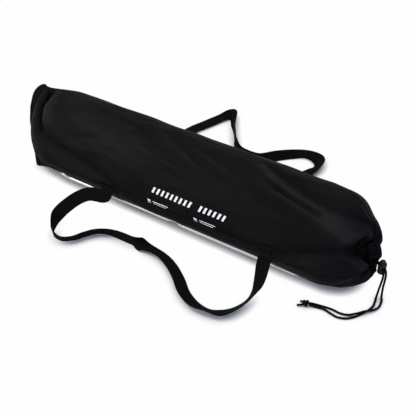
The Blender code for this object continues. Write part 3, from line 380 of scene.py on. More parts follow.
# %% Tails of the drawstring
CORD_DIAMETER = 3.0 * MM
LOWEST_CORD = 1.55 * MM
TAIL_A = [
    (286.93, -5.27, 51.0), (288.6, -6.93, 51.0), (290.0, -8.4, 46.5), (289.6, -8.4, 36.3), (287.6, -7.6, 20.2),
    (286.2, -7.4, 7.1), (286.4, -11.4, 1.8), (287.8, -17, 1.6), (288.6, -29, 1.6), (282.4, -45.5, 1.6),
    (271, -62, 1.6), (258, -68.5, 1.6), (247, -67.6, 1.6), (236, -65.6, 1.6), (226, -67.2, 1.8),
    (219.5, -69.2, 3.0), (216.4, -70.5, 3.8),
]
TAIL_B = [
    (289.27, -2.93, 51.0), (290.93, -4.6, 51.0), (292.6, -6.0, 46.5), (292.6, -5.8, 36.3), (291.4, -4.4, 20.2),
    (291.2, -3.8, 7.1), (292.4, -6.6, 1.9), (294.8, -11.5, 1.6), (296.2, -24, 1.6), (291.4, -35.5, 3.2),
    (284.6, -43.0, 5.0), (276.6, -52.4, 4.8), (267, -58.2, 2.2), (257, -60.6, 1.6), (246, -60.0, 1.6),
    (236, -61.0, 1.6), (226.5, -62.8, 1.8), (218.8, -65.6, 3.0), (215.0, -67.5, 3.8),
]


def in_metres(points):
    return [Vector(point) * MM for point in points]


tails, tail_paths = {}, {}
for letter, route in (("a", TAIL_A), ("b", TAIL_B)):
    path = smooth_path(in_metres(route), 2.0 * MM)
    for point in path:
        point.z = max(point.z, LOWEST_CORD)
    tail = round_cord(f"cord_tail_{letter}", path, CORD_DIAMETER, body="cord_lock", slot="braided_cord")
    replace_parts(tail, f"drawstring_tail_{letter}")
    tails[letter], tail_paths[letter] = tail, path
    print(tail.name, "is", round(path_length(path) * 1000), "mm long")

# %% [markdown]
# The knot is a real one in small: the cords wrap once and a half round themselves, and two cut ends stick
# out. A plain lump would lose the spiral that makes a knot look tied, so the wraps are swept as cord too.

# %% Knot
KNOT_CENTRE = Vector((211.4, -71.2, 5.0)) * MM
KNOT_AXIS = Vector((-0.89, -0.46, 0.0)).normalized()
KNOT_SIDE = Vector((-KNOT_AXIS.y, KNOT_AXIS.x, 0.0))
KNOTTED_CORD = CORD_DIAMETER * 0.96


def in_knot(along, aside=0.0, up=0.0):
    """A place in the knot, in millimetres from its centre along its axis, to its side and up."""
    return KNOT_CENTRE + (KNOT_AXIS * along + KNOT_SIDE * aside + UP * up) * MM


def knot_wrap(start_turn, turns, first, last, radius):
    """A strand that wraps round the knot's axis from one place to another along it."""
    strand = []
    for step in range(41):
        share = step / 40.0
        turn = start_turn + 2.0 * math.pi * turns * share
        reach = radius * (1.0 - 0.35 * (2.0 * share - 1.0) ** 4)
        strand.append(in_knot(first + (last - first) * share, reach * math.cos(turn), reach * math.sin(turn)))
    return strand


knot_routes = {
    "knot_heart": [in_knot(-5.0, 0.0, -0.6), in_knot(-2.0), in_knot(0.0), in_knot(4.5)],
    "knot_end_long": [in_knot(1.5, 0.8), in_knot(5.5, 1.6, -1.6), in_knot(11.5, 1.2, -3.1)],
    "knot_end_short": [in_knot(1.0, -1.6), in_knot(4.2, -3.2, -0.6), in_knot(6.4, -5.2, -2.2)],
}
knot_strands = {
    "knot_wrap_near": knot_wrap(0.4, 1.35, -3.4, 0.8, 3.3),
    "knot_wrap_far": knot_wrap(3.4, 1.25, -0.6, 3.6, 3.2),
} | {name: smooth_path(route, 1.0 * MM) for name, route in knot_routes.items()}
knot_pieces = [round_cord(name, strand, KNOTTED_CORD, body="cord_lock", slot="braided_cord")
               for name, strand in knot_strands.items()]
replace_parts(knot_pieces[0], "drawstring_knot")
print("the knot has", len(knot_pieces), "pieces")

# %% [markdown]
# ## The shape of the bag
# The bag is one tube of cloth. At one end it is sewn flat, so the round tube closes to an upright line with
# an ear at the top and the bottom. At the other end it rounds over and turns in to the drawn mouth. Three
# formulas give that skin without any fold: for the closing end, the round tube and the mouth. A place on
# the skin has a station, from -1 at the flat seam through 0 and 1, the ends of the tube, to 2 at the mouth,
# and an angle from the top toward the front. All lengths are in millimetres until a mesh is made.

# %% Skin of the bag before its folds
CLOSED_RADIUS, MOUTH_RADIUS, FLAT_DEPTH = 64.5, 68.0, 2.0
TUBE_START, TUBE_END = -222.0, 214.0
CLOSED_HEIGHT = 2.0 * CLOSED_RADIUS - FLAT_DEPTH
SEAM_X, SEAM_LEAN, SEAM_BULGE = -281.0, 3.0, 14.0
SEAM_BOTTOM_Y, SEAM_TURN_Y, SEAM_BELLY_Y = -27.0, 42.0, 6.0
SEAM_HALF_THICKNESS = 0.7
HEM_X, HEM_Z, HEM_TILT = 259.9, 61.0, math.radians(14.0)
HEM_HALF_WIDTH, HEM_HALF_HEIGHT, HEM_RADIUS = 11.0, 16.0, 3.0
HEM_EASE = 0.9
MOUTH_DEPTH, MOUTH_TURN = 56.0, math.radians(125.0)
MOUTH_ROUND_BOTTOM, MOUTH_ROUND_TOP = 2.5, 1.45


def seam_line(height):
    """The flat seam at the closed end, from its bottom (0) to its top (1)."""
    belly = np.sin(np.pi * height)
    x = SEAM_X + SEAM_LEAN * (1.0 - height) - SEAM_BULGE * np.sin(np.pi * np.maximum(height, 0.0) ** 1.5)
    return x, SEAM_BOTTOM_Y + SEAM_TURN_Y * height - SEAM_BELLY_Y * belly, CLOSED_HEIGHT * height


def closing_skin(station, angle):
    width = (1.0 - station ** 2) ** 0.8
    z = np.maximum(CLOSED_RADIUS - FLAT_DEPTH + CLOSED_RADIUS * np.cos(angle), 0.0)
    seam_x, seam_y, _ = seam_line(np.clip(z / CLOSED_HEIGHT, 0.0, 1.0))
    seam_y = seam_y - np.clip(6.0 * np.sin(angle), -1.0, 1.0) * SEAM_HALF_THICKNESS
    y = seam_y + (-CLOSED_RADIUS * np.sin(angle) - seam_y) * width
    return np.stack([TUBE_START - (seam_x - TUBE_START) * station, y, z], -1)


def tube_skin(station, angle):
    radius = CLOSED_RADIUS + (MOUTH_RADIUS - CLOSED_RADIUS) * station
    z = np.maximum(radius - FLAT_DEPTH + radius * np.cos(angle), 0.0)
    return np.stack([TUBE_START + (TUBE_END - TUBE_START) * station, -radius * np.sin(angle), z], -1)


def mouth_skin(station, angle):
    turn = station - 1.0
    roundness = MOUTH_ROUND_BOTTOM + (MOUTH_ROUND_TOP - MOUTH_ROUND_BOTTOM) * (1.0 + np.cos(angle)) / 2.0
    share = np.maximum(np.cos(turn * np.pi / 2.0), 0.0) ** roundness
    half_width = HEM_HALF_WIDTH + HEM_RADIUS + HEM_EASE
    half_height = (HEM_HALF_HEIGHT + HEM_RADIUS + HEM_EASE) * math.cos(HEM_TILT)
    y = -(half_width + (MOUTH_RADIUS - half_width) * share) * np.sin(angle)
    centre = HEM_Z + (MOUTH_RADIUS - FLAT_DEPTH - HEM_Z) * share
    z = np.maximum(centre + (half_height + (MOUTH_RADIUS - half_height) * share) * np.cos(angle), 0.0)
    lean = math.tan(HEM_TILT) * (1.0 - share) * (z - centre)
    return np.stack([TUBE_END + MOUTH_DEPTH * np.sin(turn * MOUTH_TURN) - lean, y, z], -1)


def skin(station, angle):
    station, angle = np.broadcast_arrays(np.asarray(station, float), np.asarray(angle, float))
    closing = closing_skin(np.clip(station, -1.0, 0.0), angle)
    tube = tube_skin(np.clip(station, 0.0, 1.0), angle)
    mouth = mouth_skin(np.clip(station, 1.0, 2.0), angle)
    return np.where((station < 0.0)[..., None], closing, np.where((station > 1.0)[..., None], mouth, tube))


print("top of the bag at its middle:", np.round(skin(0.5, 0.0), 1), "mm")

# %% [markdown]
# ## Folds, drawn one by one
# Cloth round a firm load doesn't hang free, so a cloth simulation would only inflate this bag or let it
# fall. Its folds come from how it was packed and sewn, and they are drawn as a sculptor would: each one is a
# short list of places on the skin with a height there, in millimetres, and a width. A ridge stands out, and
# a negative height is a valley. The places are how far along the bag, in millimetres, and the angle from
# the top toward the front, in degrees.

# %% Lists of folds
# Each fold: width, then its places (along, angle, height)
FRONT_SEAM = [(-294, 57), (-262, 56), (-240, 58), (-218, 61), (-204, 65), (-183, 69), (-165, 70), (-140, 75),
              (-126, 79), (-117, 83), (-105, 88), (-94, 93), (-60, 95), (-25, 96), (10, 95), (50, 92),
              (90, 90), (130, 90), (157, 90), (168, 87), (181, 81), (200, 72), (223, 63), (240, 56), (252, 51)]
REAR_SEAM = [(-294, -80), (-240, -86), (-180, -90), (-105, -90), (0, -93), (130, -90), (157, -90), (190, -84),
             (223, -76), (252, -66)]
FOLDS = [
    # Behind the flat seam of the closed end, where the cloth turns in
    (7.5, [(-276, -10, -2.5), (-275, 2, -6.0), (-275, 18, -9.0), (-273, 33, -10.0), (-267, 43, -9.0),
           (-258, 51, -6.0), (-248, 57, -3.0)]),
    (5.0, [(-262, -60, -1.6), (-276, -72, -3.2), (-270, -86, -2.4)]),
    (10.0, [(-254, 2, 1.8), (-250, 22, 2.8), (-240, 38, 1.8)]),
    (7.0, [(-252, 96, -1.4), (-236, 104, -1.0), (-215, 106, -0.5)]),
    # Soft ridges that run from the back over the top toward the mouth
    (5.4, [(88, -12, 0.4), (100, -6, 2.2), (122, 4, 3.2), (142, 11, 3.0), (173, 17, 2.3), (207, 22, 1.7),
           (226, 25, 1.1), (244, 27, 0.3)]),
    (3.6, [(112, 6, -0.6), (130, 13, -2.0), (150, 17.5, -2.2), (175, 22, -1.8), (200, 26.5, -1.0)]),
    (5.0, [(110, 12, 0.5), (128, 19, 1.6), (150, 23, 1.8), (175, 27, 1.6), (200, 31, 1.2), (224, 33, 0.5)]),
    (6.0, [(96, -20, -0.6), (125, -8, -1.8), (150, -2, -1.8), (185, 5, -1.6), (216, 11, -0.8)]),
    (8.0, [(96, 22, -0.6), (125, 30, -1.6), (155, 35, -1.8), (185, 41, -1.4), (206, 44, -0.4)]),
    (12.0, [(200, 30, 0.6), (222, 34, 2.0), (241, 38, 2.2)]),
    (5.0, [(60, -34, 0.3), (90, -26, 0.9), (125, -20, 1.1), (165, -14, 0.5)]),
    # Where the load stands up a little, behind the closed end
    (34.0, [(-212, 24, 0.6), (-170, 28, 0.9), (-125, 30, 0.8), (-95, 22, 0.2)]),
    # Hollow near the front of the mouth end, above the seam
    (22.0, [(120, 60, -0.8), (165, 58, -1.6), (205, 54, -1.2)]),
    # Fine pulls along the middle
    (3.4, [(-98, -20, 0.2), (-74, -8, 0.8), (-36, 8, 1.0), (0, 20, 0.9), (32, 27, 0.3)]),
    (3.2, [(-96, 2, -0.3), (-58, 14, -0.9), (-20, 24, -0.8), (2, 30, -0.2)]),
    (3.0, [(-92, 24, 0.3), (-60, 30, 0.8), (-22, 35, 0.7), (5, 38, 0.2)]),
    (3.0, [(-40, 38, -0.3), (-5, 43, -0.8), (32, 46, -0.7), (52, 47, -0.2)]),
    (3.6, [(-30, -4, 0.2), (12, 7, 0.9), (52, 15, 0.9), (88, 20, 0.2)]),
    (3.0, [(-6, 14, -0.2), (34, 23, -0.8), (74, 29, -0.6), (96, 32, -0.2)]),
    (3.0, [(-168, 44, 0.2), (-128, 50, 0.7), (-86, 54, 0.6), (-55, 56, 0.1)]),
    (3.4, [(-176, 8, 0.2), (-140, 10, 0.7), (-104, 6, 0.5)]),
    (3.0, [(-150, 0, -0.2), (-110, -2, -0.8), (-72, 0, -0.4)]),
    (4.0, [(-206, 44, -0.2), (-176, 40, -0.8), (-146, 34, -0.3)]),
    (3.2, [(40, 56, 0.2), (80, 58, 0.6), (118, 56, 0.3)]),
    # Where the front handle pulls on the cloth
    (4.0, [(-104, 90, -0.6), (-99, 100, -1.6), (-97, 110, -1.0)]),
    (4.0, [(-92, 92, 0.6), (-84, 99, 1.0), (-70, 103, 0.4)]),
    (4.0, [(126, 84, -0.5), (141, 86, -1.4), (158, 84, -0.8)]),
    (5.0, [(166, 92, 0.8), (176, 86, 1.0), (190, 78, 0.6)]),
    # Lower front edge and corners
    (6.0, [(170, 124, 0.8), (205, 124, 1.3), (228, 118, 0.8)]),
    (4.5, [(232, 122, -1.2), (246, 112, -1.4), (256, 106, -0.6)]),
    # Dent on top of the mouth end
    (7.0, [(234, 10, -1.0), (246, 5, -2.0), (258, -4, -1.4)]),
    (5.0, [(226, 20, 0.6), (238, 18, 1.6), (250, 14, 1.2)]),
]
# Pleats that the drawn mouth gathers: each runs in toward the mouth and deepens on its way
PLEATS = [
    (10.0, [(239, 52, -0.5), (245, 51, -4.0), (251, 50, -8.0), (259, 49, -12.0), (268, 47, -14.0),
            (278, 46, -12.0), (304, 46, -3.5)]),
    (4.2, [(236, 50, 0.8), (241, 42, 2.2), (247, 33, 3.0), (255, 22, 3.2), (264, 11, 2.8), (276, 4, 1.8),
           (300, 2, 0.8)]),
    (4.6, [(240, 58, 0.8), (247, 62, 2.2), (255, 66, 3.6), (264, 72, 5.0), (272, 78, 5.6), (282, 82, 4.0),
           (300, 86, 0.8)]),
    (6.5, [(256, 38, -2.0), (262, 33, -6.0), (269, 27, -9.0), (278, 20, -7.0), (300, 20, -2.0)]),
    (3.4, [(266, 104, -1.0), (273, 104, -3.0), (282, 104, -4.0), (304, 104, -2.0)]),
    (4.0, [(262, 122, 0.6), (270, 120, 2.6), (282, 117, 3.0), (304, 114, 1.2)]),
    (7.0, [(247, 126, -0.6), (254, 120, -2.4), (262, 114, -1.6)]),
    (6.0, [(232, 133, 0.4), (240, 131, 1.8), (245, 128, 0.4)]),
    (5.0, [(262, 138, -1.0), (276, 138, -4.0), (290, 138, -3.6), (304, 138, -1.6)]),
    (4.6, [(262, -12, -1.0), (274, -14, -3.2), (288, -16, -3.4), (304, -18, -1.6)]),
    (4.2, [(256, -30, 0.8), (270, -30, 2.0), (286, -30, 1.8), (304, -30, 0.8)]),
    (5.4, [(244, -52, -0.8), (262, -52, -3.0), (278, -52, -5.0), (290, -52, -4.0), (304, -52, -1.8)]),
    (4.2, [(250, -74, 0.8), (268, -74, 2.0), (286, -74, 1.8), (304, -74, 0.8)]),
    (5.0, [(248, -98, -0.8), (264, -98, -3.0), (280, -98, -4.8), (304, -98, -2.0)]),
    (4.2, [(256, -120, 0.6), (272, -120, 1.8), (304, -120, 0.8)]),
    (5.0, [(258, -144, -0.8), (274, -144, -3.6), (304, -144, -1.8)]),
]
print(len(FOLDS), "folds and", len(PLEATS), "pleats")

# %% [markdown]
# ## How high the cloth stands
# Every point of the skin looks up its distance to each fold and moves out or in by the fold's height there.
# Distances are measured on the cloth, so the narrow mouth counts as narrow. The side seam pulls the cloth in
# more on its upper side than below, which leaves the long shadow and the fuller facet under it. The load
# inside is no perfect roll, so it fills the tube more at the back of the top and less low down and at the
# shoulder. Under the sewn ends of the handles the webbing holds the cloth flat, so no fold passes there.

# %% Height of the folds
HANDLE_PLACES = (-117.0, 144.0)
CLOSING_LENGTH, GATHER_LENGTH = 72.0, 90.0
TUBE_RADIUS, THROAT_RADIUS = 66.0, 17.0
FOLD_STRENGTH = 1.6
FRONT_SEAM_DEPTH, REAR_SEAM_DEPTH = 4.6, 2.6
# Where a seam pulls how much, along the bag
SEAM_PULL = ([-294, -262, -215, -150, -60, 60, 150, 215, 240, 252],
             [0.1, 0.5, 1.0, 0.95, 0.55, 0.6, 0.85, 0.9, 0.8, 0.0])


def along_of(station):
    """How far along the bag a station lies, in millimetres."""
    return np.where(station < 0.0, TUBE_START + CLOSING_LENGTH * station,
                    np.where(station <= 1.0, TUBE_START + (TUBE_END - TUBE_START) * station,
                             TUBE_END + GATHER_LENGTH * (station - 1.0)))


def station_of(along):
    """The other way round: the station of a place along the bag."""
    return np.where(along < TUBE_START, (along - TUBE_START) / CLOSING_LENGTH,
                    np.where(along <= TUBE_END, (along - TUBE_START) / (TUBE_END - TUBE_START),
                             1.0 + (along - TUBE_END) / GATHER_LENGTH))


def girth_radius(station):
    share = np.maximum(np.cos(np.clip(station - 1.0, 0.0, 1.0) * np.pi / 2.0), 0.0) ** 2.0
    return np.where(station > 1.0, THROAT_RADIUS + (MOUTH_RADIUS - THROAT_RADIUS) * share, TUBE_RADIUS)


def fold_height(along, degrees, radius, width, places):
    """The height that one fold gives at each point: a smooth bump round the line through its places."""
    nearest = np.full(along.shape, 1e9)
    height = np.zeros(along.shape)
    per_degree = radius * math.pi / 180.0
    for (l0, d0, h0), (l1, d1, h1) in zip(places, places[1:]):
        run, rise = l1 - l0, (d1 - d0) * per_degree
        t = ((along - l0) * run + (degrees - d0) * per_degree * rise) / (run ** 2 + rise ** 2 + 1e-9)
        t = np.clip(t, 0.0, 1.0)
        away = np.hypot(along - l0 - run * t, (degrees - d0) * per_degree - rise * t)
        height = np.where(away < nearest, h0 + (h1 - h0) * t, height)
        nearest = np.minimum(nearest, away)
    return height * np.exp(-(nearest / width) ** 2)


def seam_height(along, degrees, radius, seam, depth):
    line = np.interp(along, [place[0] for place in seam], [place[1] for place in seam])
    above = np.sign(seam[0][1]) * (line - degrees) * radius * math.pi / 180.0
    pull = np.where(above > 0.0, np.exp(-(np.abs(above) / 9.0) ** 1.2), np.exp(-(above / 7.0) ** 2))
    fuller = np.where(above < 0.0, np.exp(-((above + 15.0) / 9.0) ** 2), 0.0)
    return np.interp(along, *SEAM_PULL) * (fuller - depth * pull)


def wrinkles(along, degrees):
    """Small irregular waves in two sizes, long along the bag and short across it."""
    waves = np.zeros(along.shape)
    for place in np.ndindex(along.shape):
        turn = math.radians(degrees[place])
        around = Vector((TUBE_RADIUS * math.cos(turn), TUBE_RADIUS * math.sin(turn), 0.0))
        soft = noise.noise(Vector((along[place] / 62.0, around.x / 26.0, around.y / 26.0)))
        fine = noise.noise(Vector((along[place] / 30.0 + 7.0, around.x / 8.5, around.y / 8.5)))
        waves[place] = 1.15 * soft + 0.85 * fine
    return waves


def load_shape(along, degrees):
    """How the load fills the tube: fuller at the back of the top, hollow low down and at the shoulder."""
    full = np.interp(along, [-294, -268, -240, 185, 220], [0.0, 0.8, 1.0, 1.0, 0.0])
    low = np.interp(along, [-294, -262, -230, 225, 262], [0.0, 0.9, 1.0, 1.0, 0.0])
    shape = 2.2 * full * np.exp(-((degrees + 48.0) / 28.0) ** 2)
    shape -= 5.6 * low * np.exp(-((degrees - 134.0) / 25.0) ** 2)
    shape -= 3.6 * low * np.exp(-((degrees + 134.0) / 25.0) ** 2)
    shape -= 6.5 * np.exp(-((degrees + 42.0) / 38.0) ** 2 - ((along - 249.0) / 19.0) ** 2)
    return shape * np.clip((along + 294.0) / 9.0, 0.0, 1.0)


def total_height(station, angle):
    along = along_of(station)
    radius = girth_radius(station)
    degrees = np.degrees(angle)
    height = np.zeros(station.shape)
    for strength, folds in ((FOLD_STRENGTH, FOLDS), (1.0, PLEATS)):
        for width, places in folds:
            height += fold_height(along, degrees, radius, width, places) * strength
    height += seam_height(along, degrees, radius, FRONT_SEAM, FRONT_SEAM_DEPTH)
    height += seam_height(along, degrees, radius, REAR_SEAM, REAR_SEAM_DEPTH)
    gather = np.clip((along - 230.0) / 45.0, 0.0, 1.0) * (0.65 + 0.35 * np.cos(5.0 * angle + 1.0))
    height += 0.9 * gather * np.cos(23.0 * angle + 2.0 * np.sin(3.0 * angle))
    height += wrinkles(along, degrees) * np.clip((radius - 12.0) / 54.0, 0.1, 1.0)
    for place in HANDLE_PLACES:
        near = np.exp(-((along - place) / 15.0) ** 4 - ((np.abs(degrees) - 100.0) / 12.0) ** 4)
        height = height * (1.0 - near)
    return height * np.clip(station + 1.0, 0.0, 0.12) / 0.12


middle_rise = total_height(np.array([[0.5]]), np.array([[0.0]]))
print("folds at the middle of the top:", round(float(middle_rise[0, 0]), 2), "mm")

# %% [markdown]
# ## The bag's cloth
# The grid is fine where the shape changes fast, at the two ends. Each point moves along the skin's own
# direction by the height of its folds, and nothing sinks below the floor. The cloth is one sheet that was
# cut as wide as the bag is round.

# %% Bag cloth
COLUMNS = 216
stations = np.concatenate([np.linspace(-1.0, 0.0, 37)[:-1], np.linspace(0.0, 1.0, 108)[:-1],
                           np.linspace(1.0, 2.0, 81)])
angles = np.linspace(-math.pi, math.pi, COLUMNS + 1)


def skin_direction(station, angle):
    step = 0.004
    ahead = skin(np.minimum(station + step, 2.0), angle)
    behind = skin(np.maximum(station - step, -1.0), angle)
    around = skin(station, angle + step) - skin(station, angle - step)
    out = np.cross(around, ahead - behind)
    return out / (np.linalg.norm(out, axis=-1, keepdims=True) + 1e-12)


def dressed_skin(station, angle, lift=0.0):
    """Points of the cloth with all its folds, in metres."""
    station, angle = np.broadcast_arrays(np.asarray(station, float), np.asarray(angle, float))
    height = total_height(station, angle) + load_shape(along_of(station), np.degrees(angle)) + lift
    points = skin(station, angle) + skin_direction(station, angle) * height[..., None]
    points[..., 2] = np.maximum(points[..., 2], 0.0)
    return points * MM


bag_points = dressed_skin(stations[:, None], angles[None, :])
bag_cloth = cloth_grid("bag_cloth", bag_points[:, :-1], along_of(stations) * MM, angles * TUBE_RADIUS * MM,
                       BAG_CLOTH, wrap=True, slot="coated_bag_fabric")
shown = total_height(*np.broadcast_arrays(stations[:, None], angles[None, :]))
fold_value = bag_cloth.data.attributes.new("fold_height", "FLOAT", "POINT")
fold_value.data.foreach_set("value", shown[:, :-1].astype(np.float32).ravel())
thickness = bag_cloth.modifiers.new("cloth_thickness", "SOLIDIFY")
thickness.thickness = 0.4 * MM
thickness.offset = -1.0
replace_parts(bag_cloth, "bag_upper_panel", "bag_base_panel")
print("bag cloth:", len(bag_cloth.data.polygons), "faces")

# %% [markdown]
# ## Stitches
# A lock stitch looks like a row of short thread bumps with small gaps. They are 3 mm long here, and each one
# is a spindle of thread that dips into the cloth at both ends. All stitches of a seam are one mesh. A second
# helper finds places on the folded cloth, for everything that is sewn or printed on it.

# %% Stitches
THREAD_RADIUS, THREAD_SIDES, STITCH_SHARE = 0.42 * MM, 6, 0.72
# Each ring of a stitch: how far along it, how thick, and how far out of the cloth in millimetres
STITCH_RINGS = [(0.0, 0.25, -0.10), (0.16, 0.85, 0.16), (0.5, 1.0, 0.24),
                (0.84, 0.85, 0.16), (1.0, 0.25, -0.10)]


def stitch_row(name, places, outs):
    """A row of thread bumps from each place to the next. Outs are the directions away from the cloth."""
    points, faces = [], []
    for start, end, out in zip(places, places[1:], outs):
        step = (end - start) * STITCH_SHARE
        side = step.normalized().cross(out)
        first = len(points)
        for share, girth, rise in STITCH_RINGS:
            middle = start + step * share + out * rise * MM
            for corner in range(THREAD_SIDES):
                turn = 2.0 * math.pi * corner / THREAD_SIDES
                points.append(middle + (side * math.cos(turn) + out * math.sin(turn)) * THREAD_RADIUS * girth)
        for near in range(first, len(points) - THREAD_SIDES, THREAD_SIDES):
            far = near + THREAD_SIDES
            for corner in range(THREAD_SIDES):
                after = (corner + 1) % THREAD_SIDES
                faces.append((near + after, near + corner, far + corner, far + after))
        faces.append(tuple(range(first, first + THREAD_SIDES)))
        faces.append(tuple(reversed(range(len(points) - THREAD_SIDES, len(points)))))
    return mesh_object(name, points, faces, THREAD, smooth=80.0)


def on_cloth(places, lift=0.0):
    """Points and outward directions on the folded cloth for (along, degrees) places."""
    station = station_of(np.array([[along for along, _ in places]], float))
    angle = np.radians([[degrees for _, degrees in places]])
    points, outs = dressed_skin(station, angle, lift)[0], skin_direction(station, angle)[0]
    return [Vector(point) for point in points], [Vector(out) for out in outs]


def grid_on_cloth(rows, side=1.0):
    """A grid of points from rows of (along, degrees, lift) places. Side is 1 in front and -1 at the rear."""
    places = [place for row in rows for place in row]
    points, _ = on_cloth([(along, side * degrees) for along, degrees, _ in places],
                         np.array([[lift for _, _, lift in places]]))
    points = np.array(points).reshape(len(rows), -1, 3)
    return points if side > 0 else points[:, ::-1]


print("one stitch is 3 mm long with a gap of 1 mm")

# %% [markdown]
# ## The seam of the closed end
# The bag's tube is pressed flat there, folded over and sewn through with two rows of stitches. The folded
# edge stands out as a stiff band that bends a little from side to side, and its two ends are the ears.

# %% Seam band of the closed end
BAND_WIDTH, BAND_HALF_THICKNESS = 8.0, 1.2
BAND_ROWS = 91
BAND = [(0.3, 1.2), (2.5, 1.25), (5.0, 1.15), (7.0, 1.1), (7.8, 0.7), (8.0, 0.0),
        (7.8, -0.7), (7.0, -1.1), (5.0, -1.15), (2.5, -1.25), (0.3, -1.2), (0.25, 0.0)]
BAND_STITCHES = 32


def seam_frame(height):
    """A place on the flat seam, in metres, with the directions away from the bag and across the band."""
    x, y, z = seam_line(np.array([height - 0.01, height, height + 0.01]))
    run = Vector((x[2] - x[0], y[2] - y[0], z[2] - z[0]))
    outward = Vector((-run.z, 0.0, run.x)).normalized()
    return Vector((x[1], y[1], z[1])) * MM, outward, outward.cross(run.normalized())


def band_reach(height):
    """How far the band stands out, in millimetres: round at its upper ear, nearly square at its lower one."""
    top = max(0.0, (height - 0.88) / 0.12)
    bottom = max(0.0, (0.06 - height) / 0.06)
    ear = 1.0 + 0.45 * math.exp(-((height - 0.84) / 0.13) ** 2)
    return BAND_WIDTH * ear * math.sqrt(max(1.0 - 0.93 * top ** 2.2, 0.0)) * (1.0 - 0.10 * bottom ** 2)


def band_place(share, out, across):
    """A place on the band, in metres: its shares up the seam and out to the edge, and across it in mm."""
    place, outward, aside = seam_frame(share)
    sway = 0.5 * math.sin(share * 17.0) + 0.35 * math.sin(share * 41.0 + 1.0)
    return place + outward * out * band_reach(share) * MM + aside * (across + sway * out) * MM


band_shares = np.linspace(0.0, 1.0, BAND_ROWS)
band_points = np.array([[band_place(share, out / BAND_WIDTH, across) for out, across in BAND]
                        for share in band_shares])
band_points[..., 2] = np.maximum(band_points[..., 2], 0.0)
seam_band = cloth_grid("closed_end_band", band_points, band_shares * CLOSED_HEIGHT * MM,
                       np.arange(len(BAND) + 1) * 1.6 * MM, BAG_CLOTH, wrap=True, slot="coated_bag_fabric")
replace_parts(seam_band, "closed_end_seam_flange")
stitch_shares = np.linspace(0.02, 0.97, BAND_STITCHES)
for row, out in (("inner", 0.3), ("outer", 0.775)):
    for face, side in (("front", -1.0), ("rear", 1.0)):
        places = [band_place(share, out, side * BAND_HALF_THICKNESS) for share in stitch_shares]
        outs = [seam_frame(share)[2] * side for share in stitch_shares]
        stitch_row(f"band_stitches_{row}_{face}", places, outs)
print("the band stands out", round(band_reach(0.5), 1), "mm")

# %% [markdown]
# ## Side seams
# Each side seam is turned and lies against the bag as a narrow flat ridge, topstitched along its middle. It
# covers the sewn ends of the handle, which is how a webbing handle is held in a seam.

# %% Side seams
SEAM_DEGREES = 97.0
RIDGE = [(-3.3, -0.4), (-3.0, 0.45), (-2.2, 0.8), (-0.8, 0.95),
         (0.8, 0.95), (2.2, 0.8), (3.0, 0.45), (3.3, -0.4)]
RIDGE_TOP, RIDGE_SUNK = 0.95, 1.2
RIDGE_START, RIDGE_END = -270.0, 272.0
TAB_RISE, TAB_REACH, TAB_SLOPE = 1.45, 13.0, 2.5
ridge_along = np.concatenate([np.linspace(RIDGE_START, TUBE_START, 24)[:-1],
                              np.linspace(TUBE_START, TUBE_END, 220)[:-1],
                              np.linspace(TUBE_END, RIDGE_END, 34)])
stitch_along = np.arange(-262.0, 264.0, 4.0)


def over_tab(along):
    """How much higher the ridge lies where it passes over the webbing, in millimetres."""
    nearest = min(abs(along - place) for place in HANDLE_PLACES)
    return TAB_RISE * min(max((TAB_REACH - nearest) / TAB_SLOPE, 0.0), 1.0)


def ridge_row(along):
    """One row across the ridge. Its edges lie in the cloth, and it is flatter toward both ends of the bag."""
    fade = min(1.0, 0.3 + max(0.0, min((along + 175.0) / 40.0, (215.0 - along) / 30.0)))
    heights = [height * fade if height > 0.0 else -RIDGE_SUNK for _, height in RIDGE]
    return [(along, SEAM_DEGREES + degrees, over_tab(along) + height)
            for (degrees, _), height in zip(RIDGE, heights)]


for name, side in (("front", 1.0), ("rear", -1.0)):
    points = grid_on_cloth([ridge_row(along) for along in ridge_along], side)
    ridge = cloth_grid(f"{name}_seam_ridge", points, ridge_along * MM, np.arange(len(RIDGE) + 1) * 1.2 * MM,
                       BAG_CLOTH, wrap=True, slot="coated_bag_fabric")
    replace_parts(ridge, f"{name}_seam_welt")
    lifts = np.array([[RIDGE_TOP + over_tab(along) for along in stitch_along]])
    places, outs = on_cloth([(along, side * SEAM_DEGREES) for along in stitch_along], lifts)
    stitch_row(f"{name}_seam_stitches", places, outs)
print("each side seam has", len(stitch_along) - 1, "stitches")

# %% [markdown]
# ## Handles
# Each handle is one length of webbing whose ends are caught in the side seam. It falls over the edge of the
# bag and lies on the floor in a loose loop that stands on edge wherever it turns. The route is given point
# by point: where the middle of the webbing is, which way its outer edge points, and how steeply it rises.

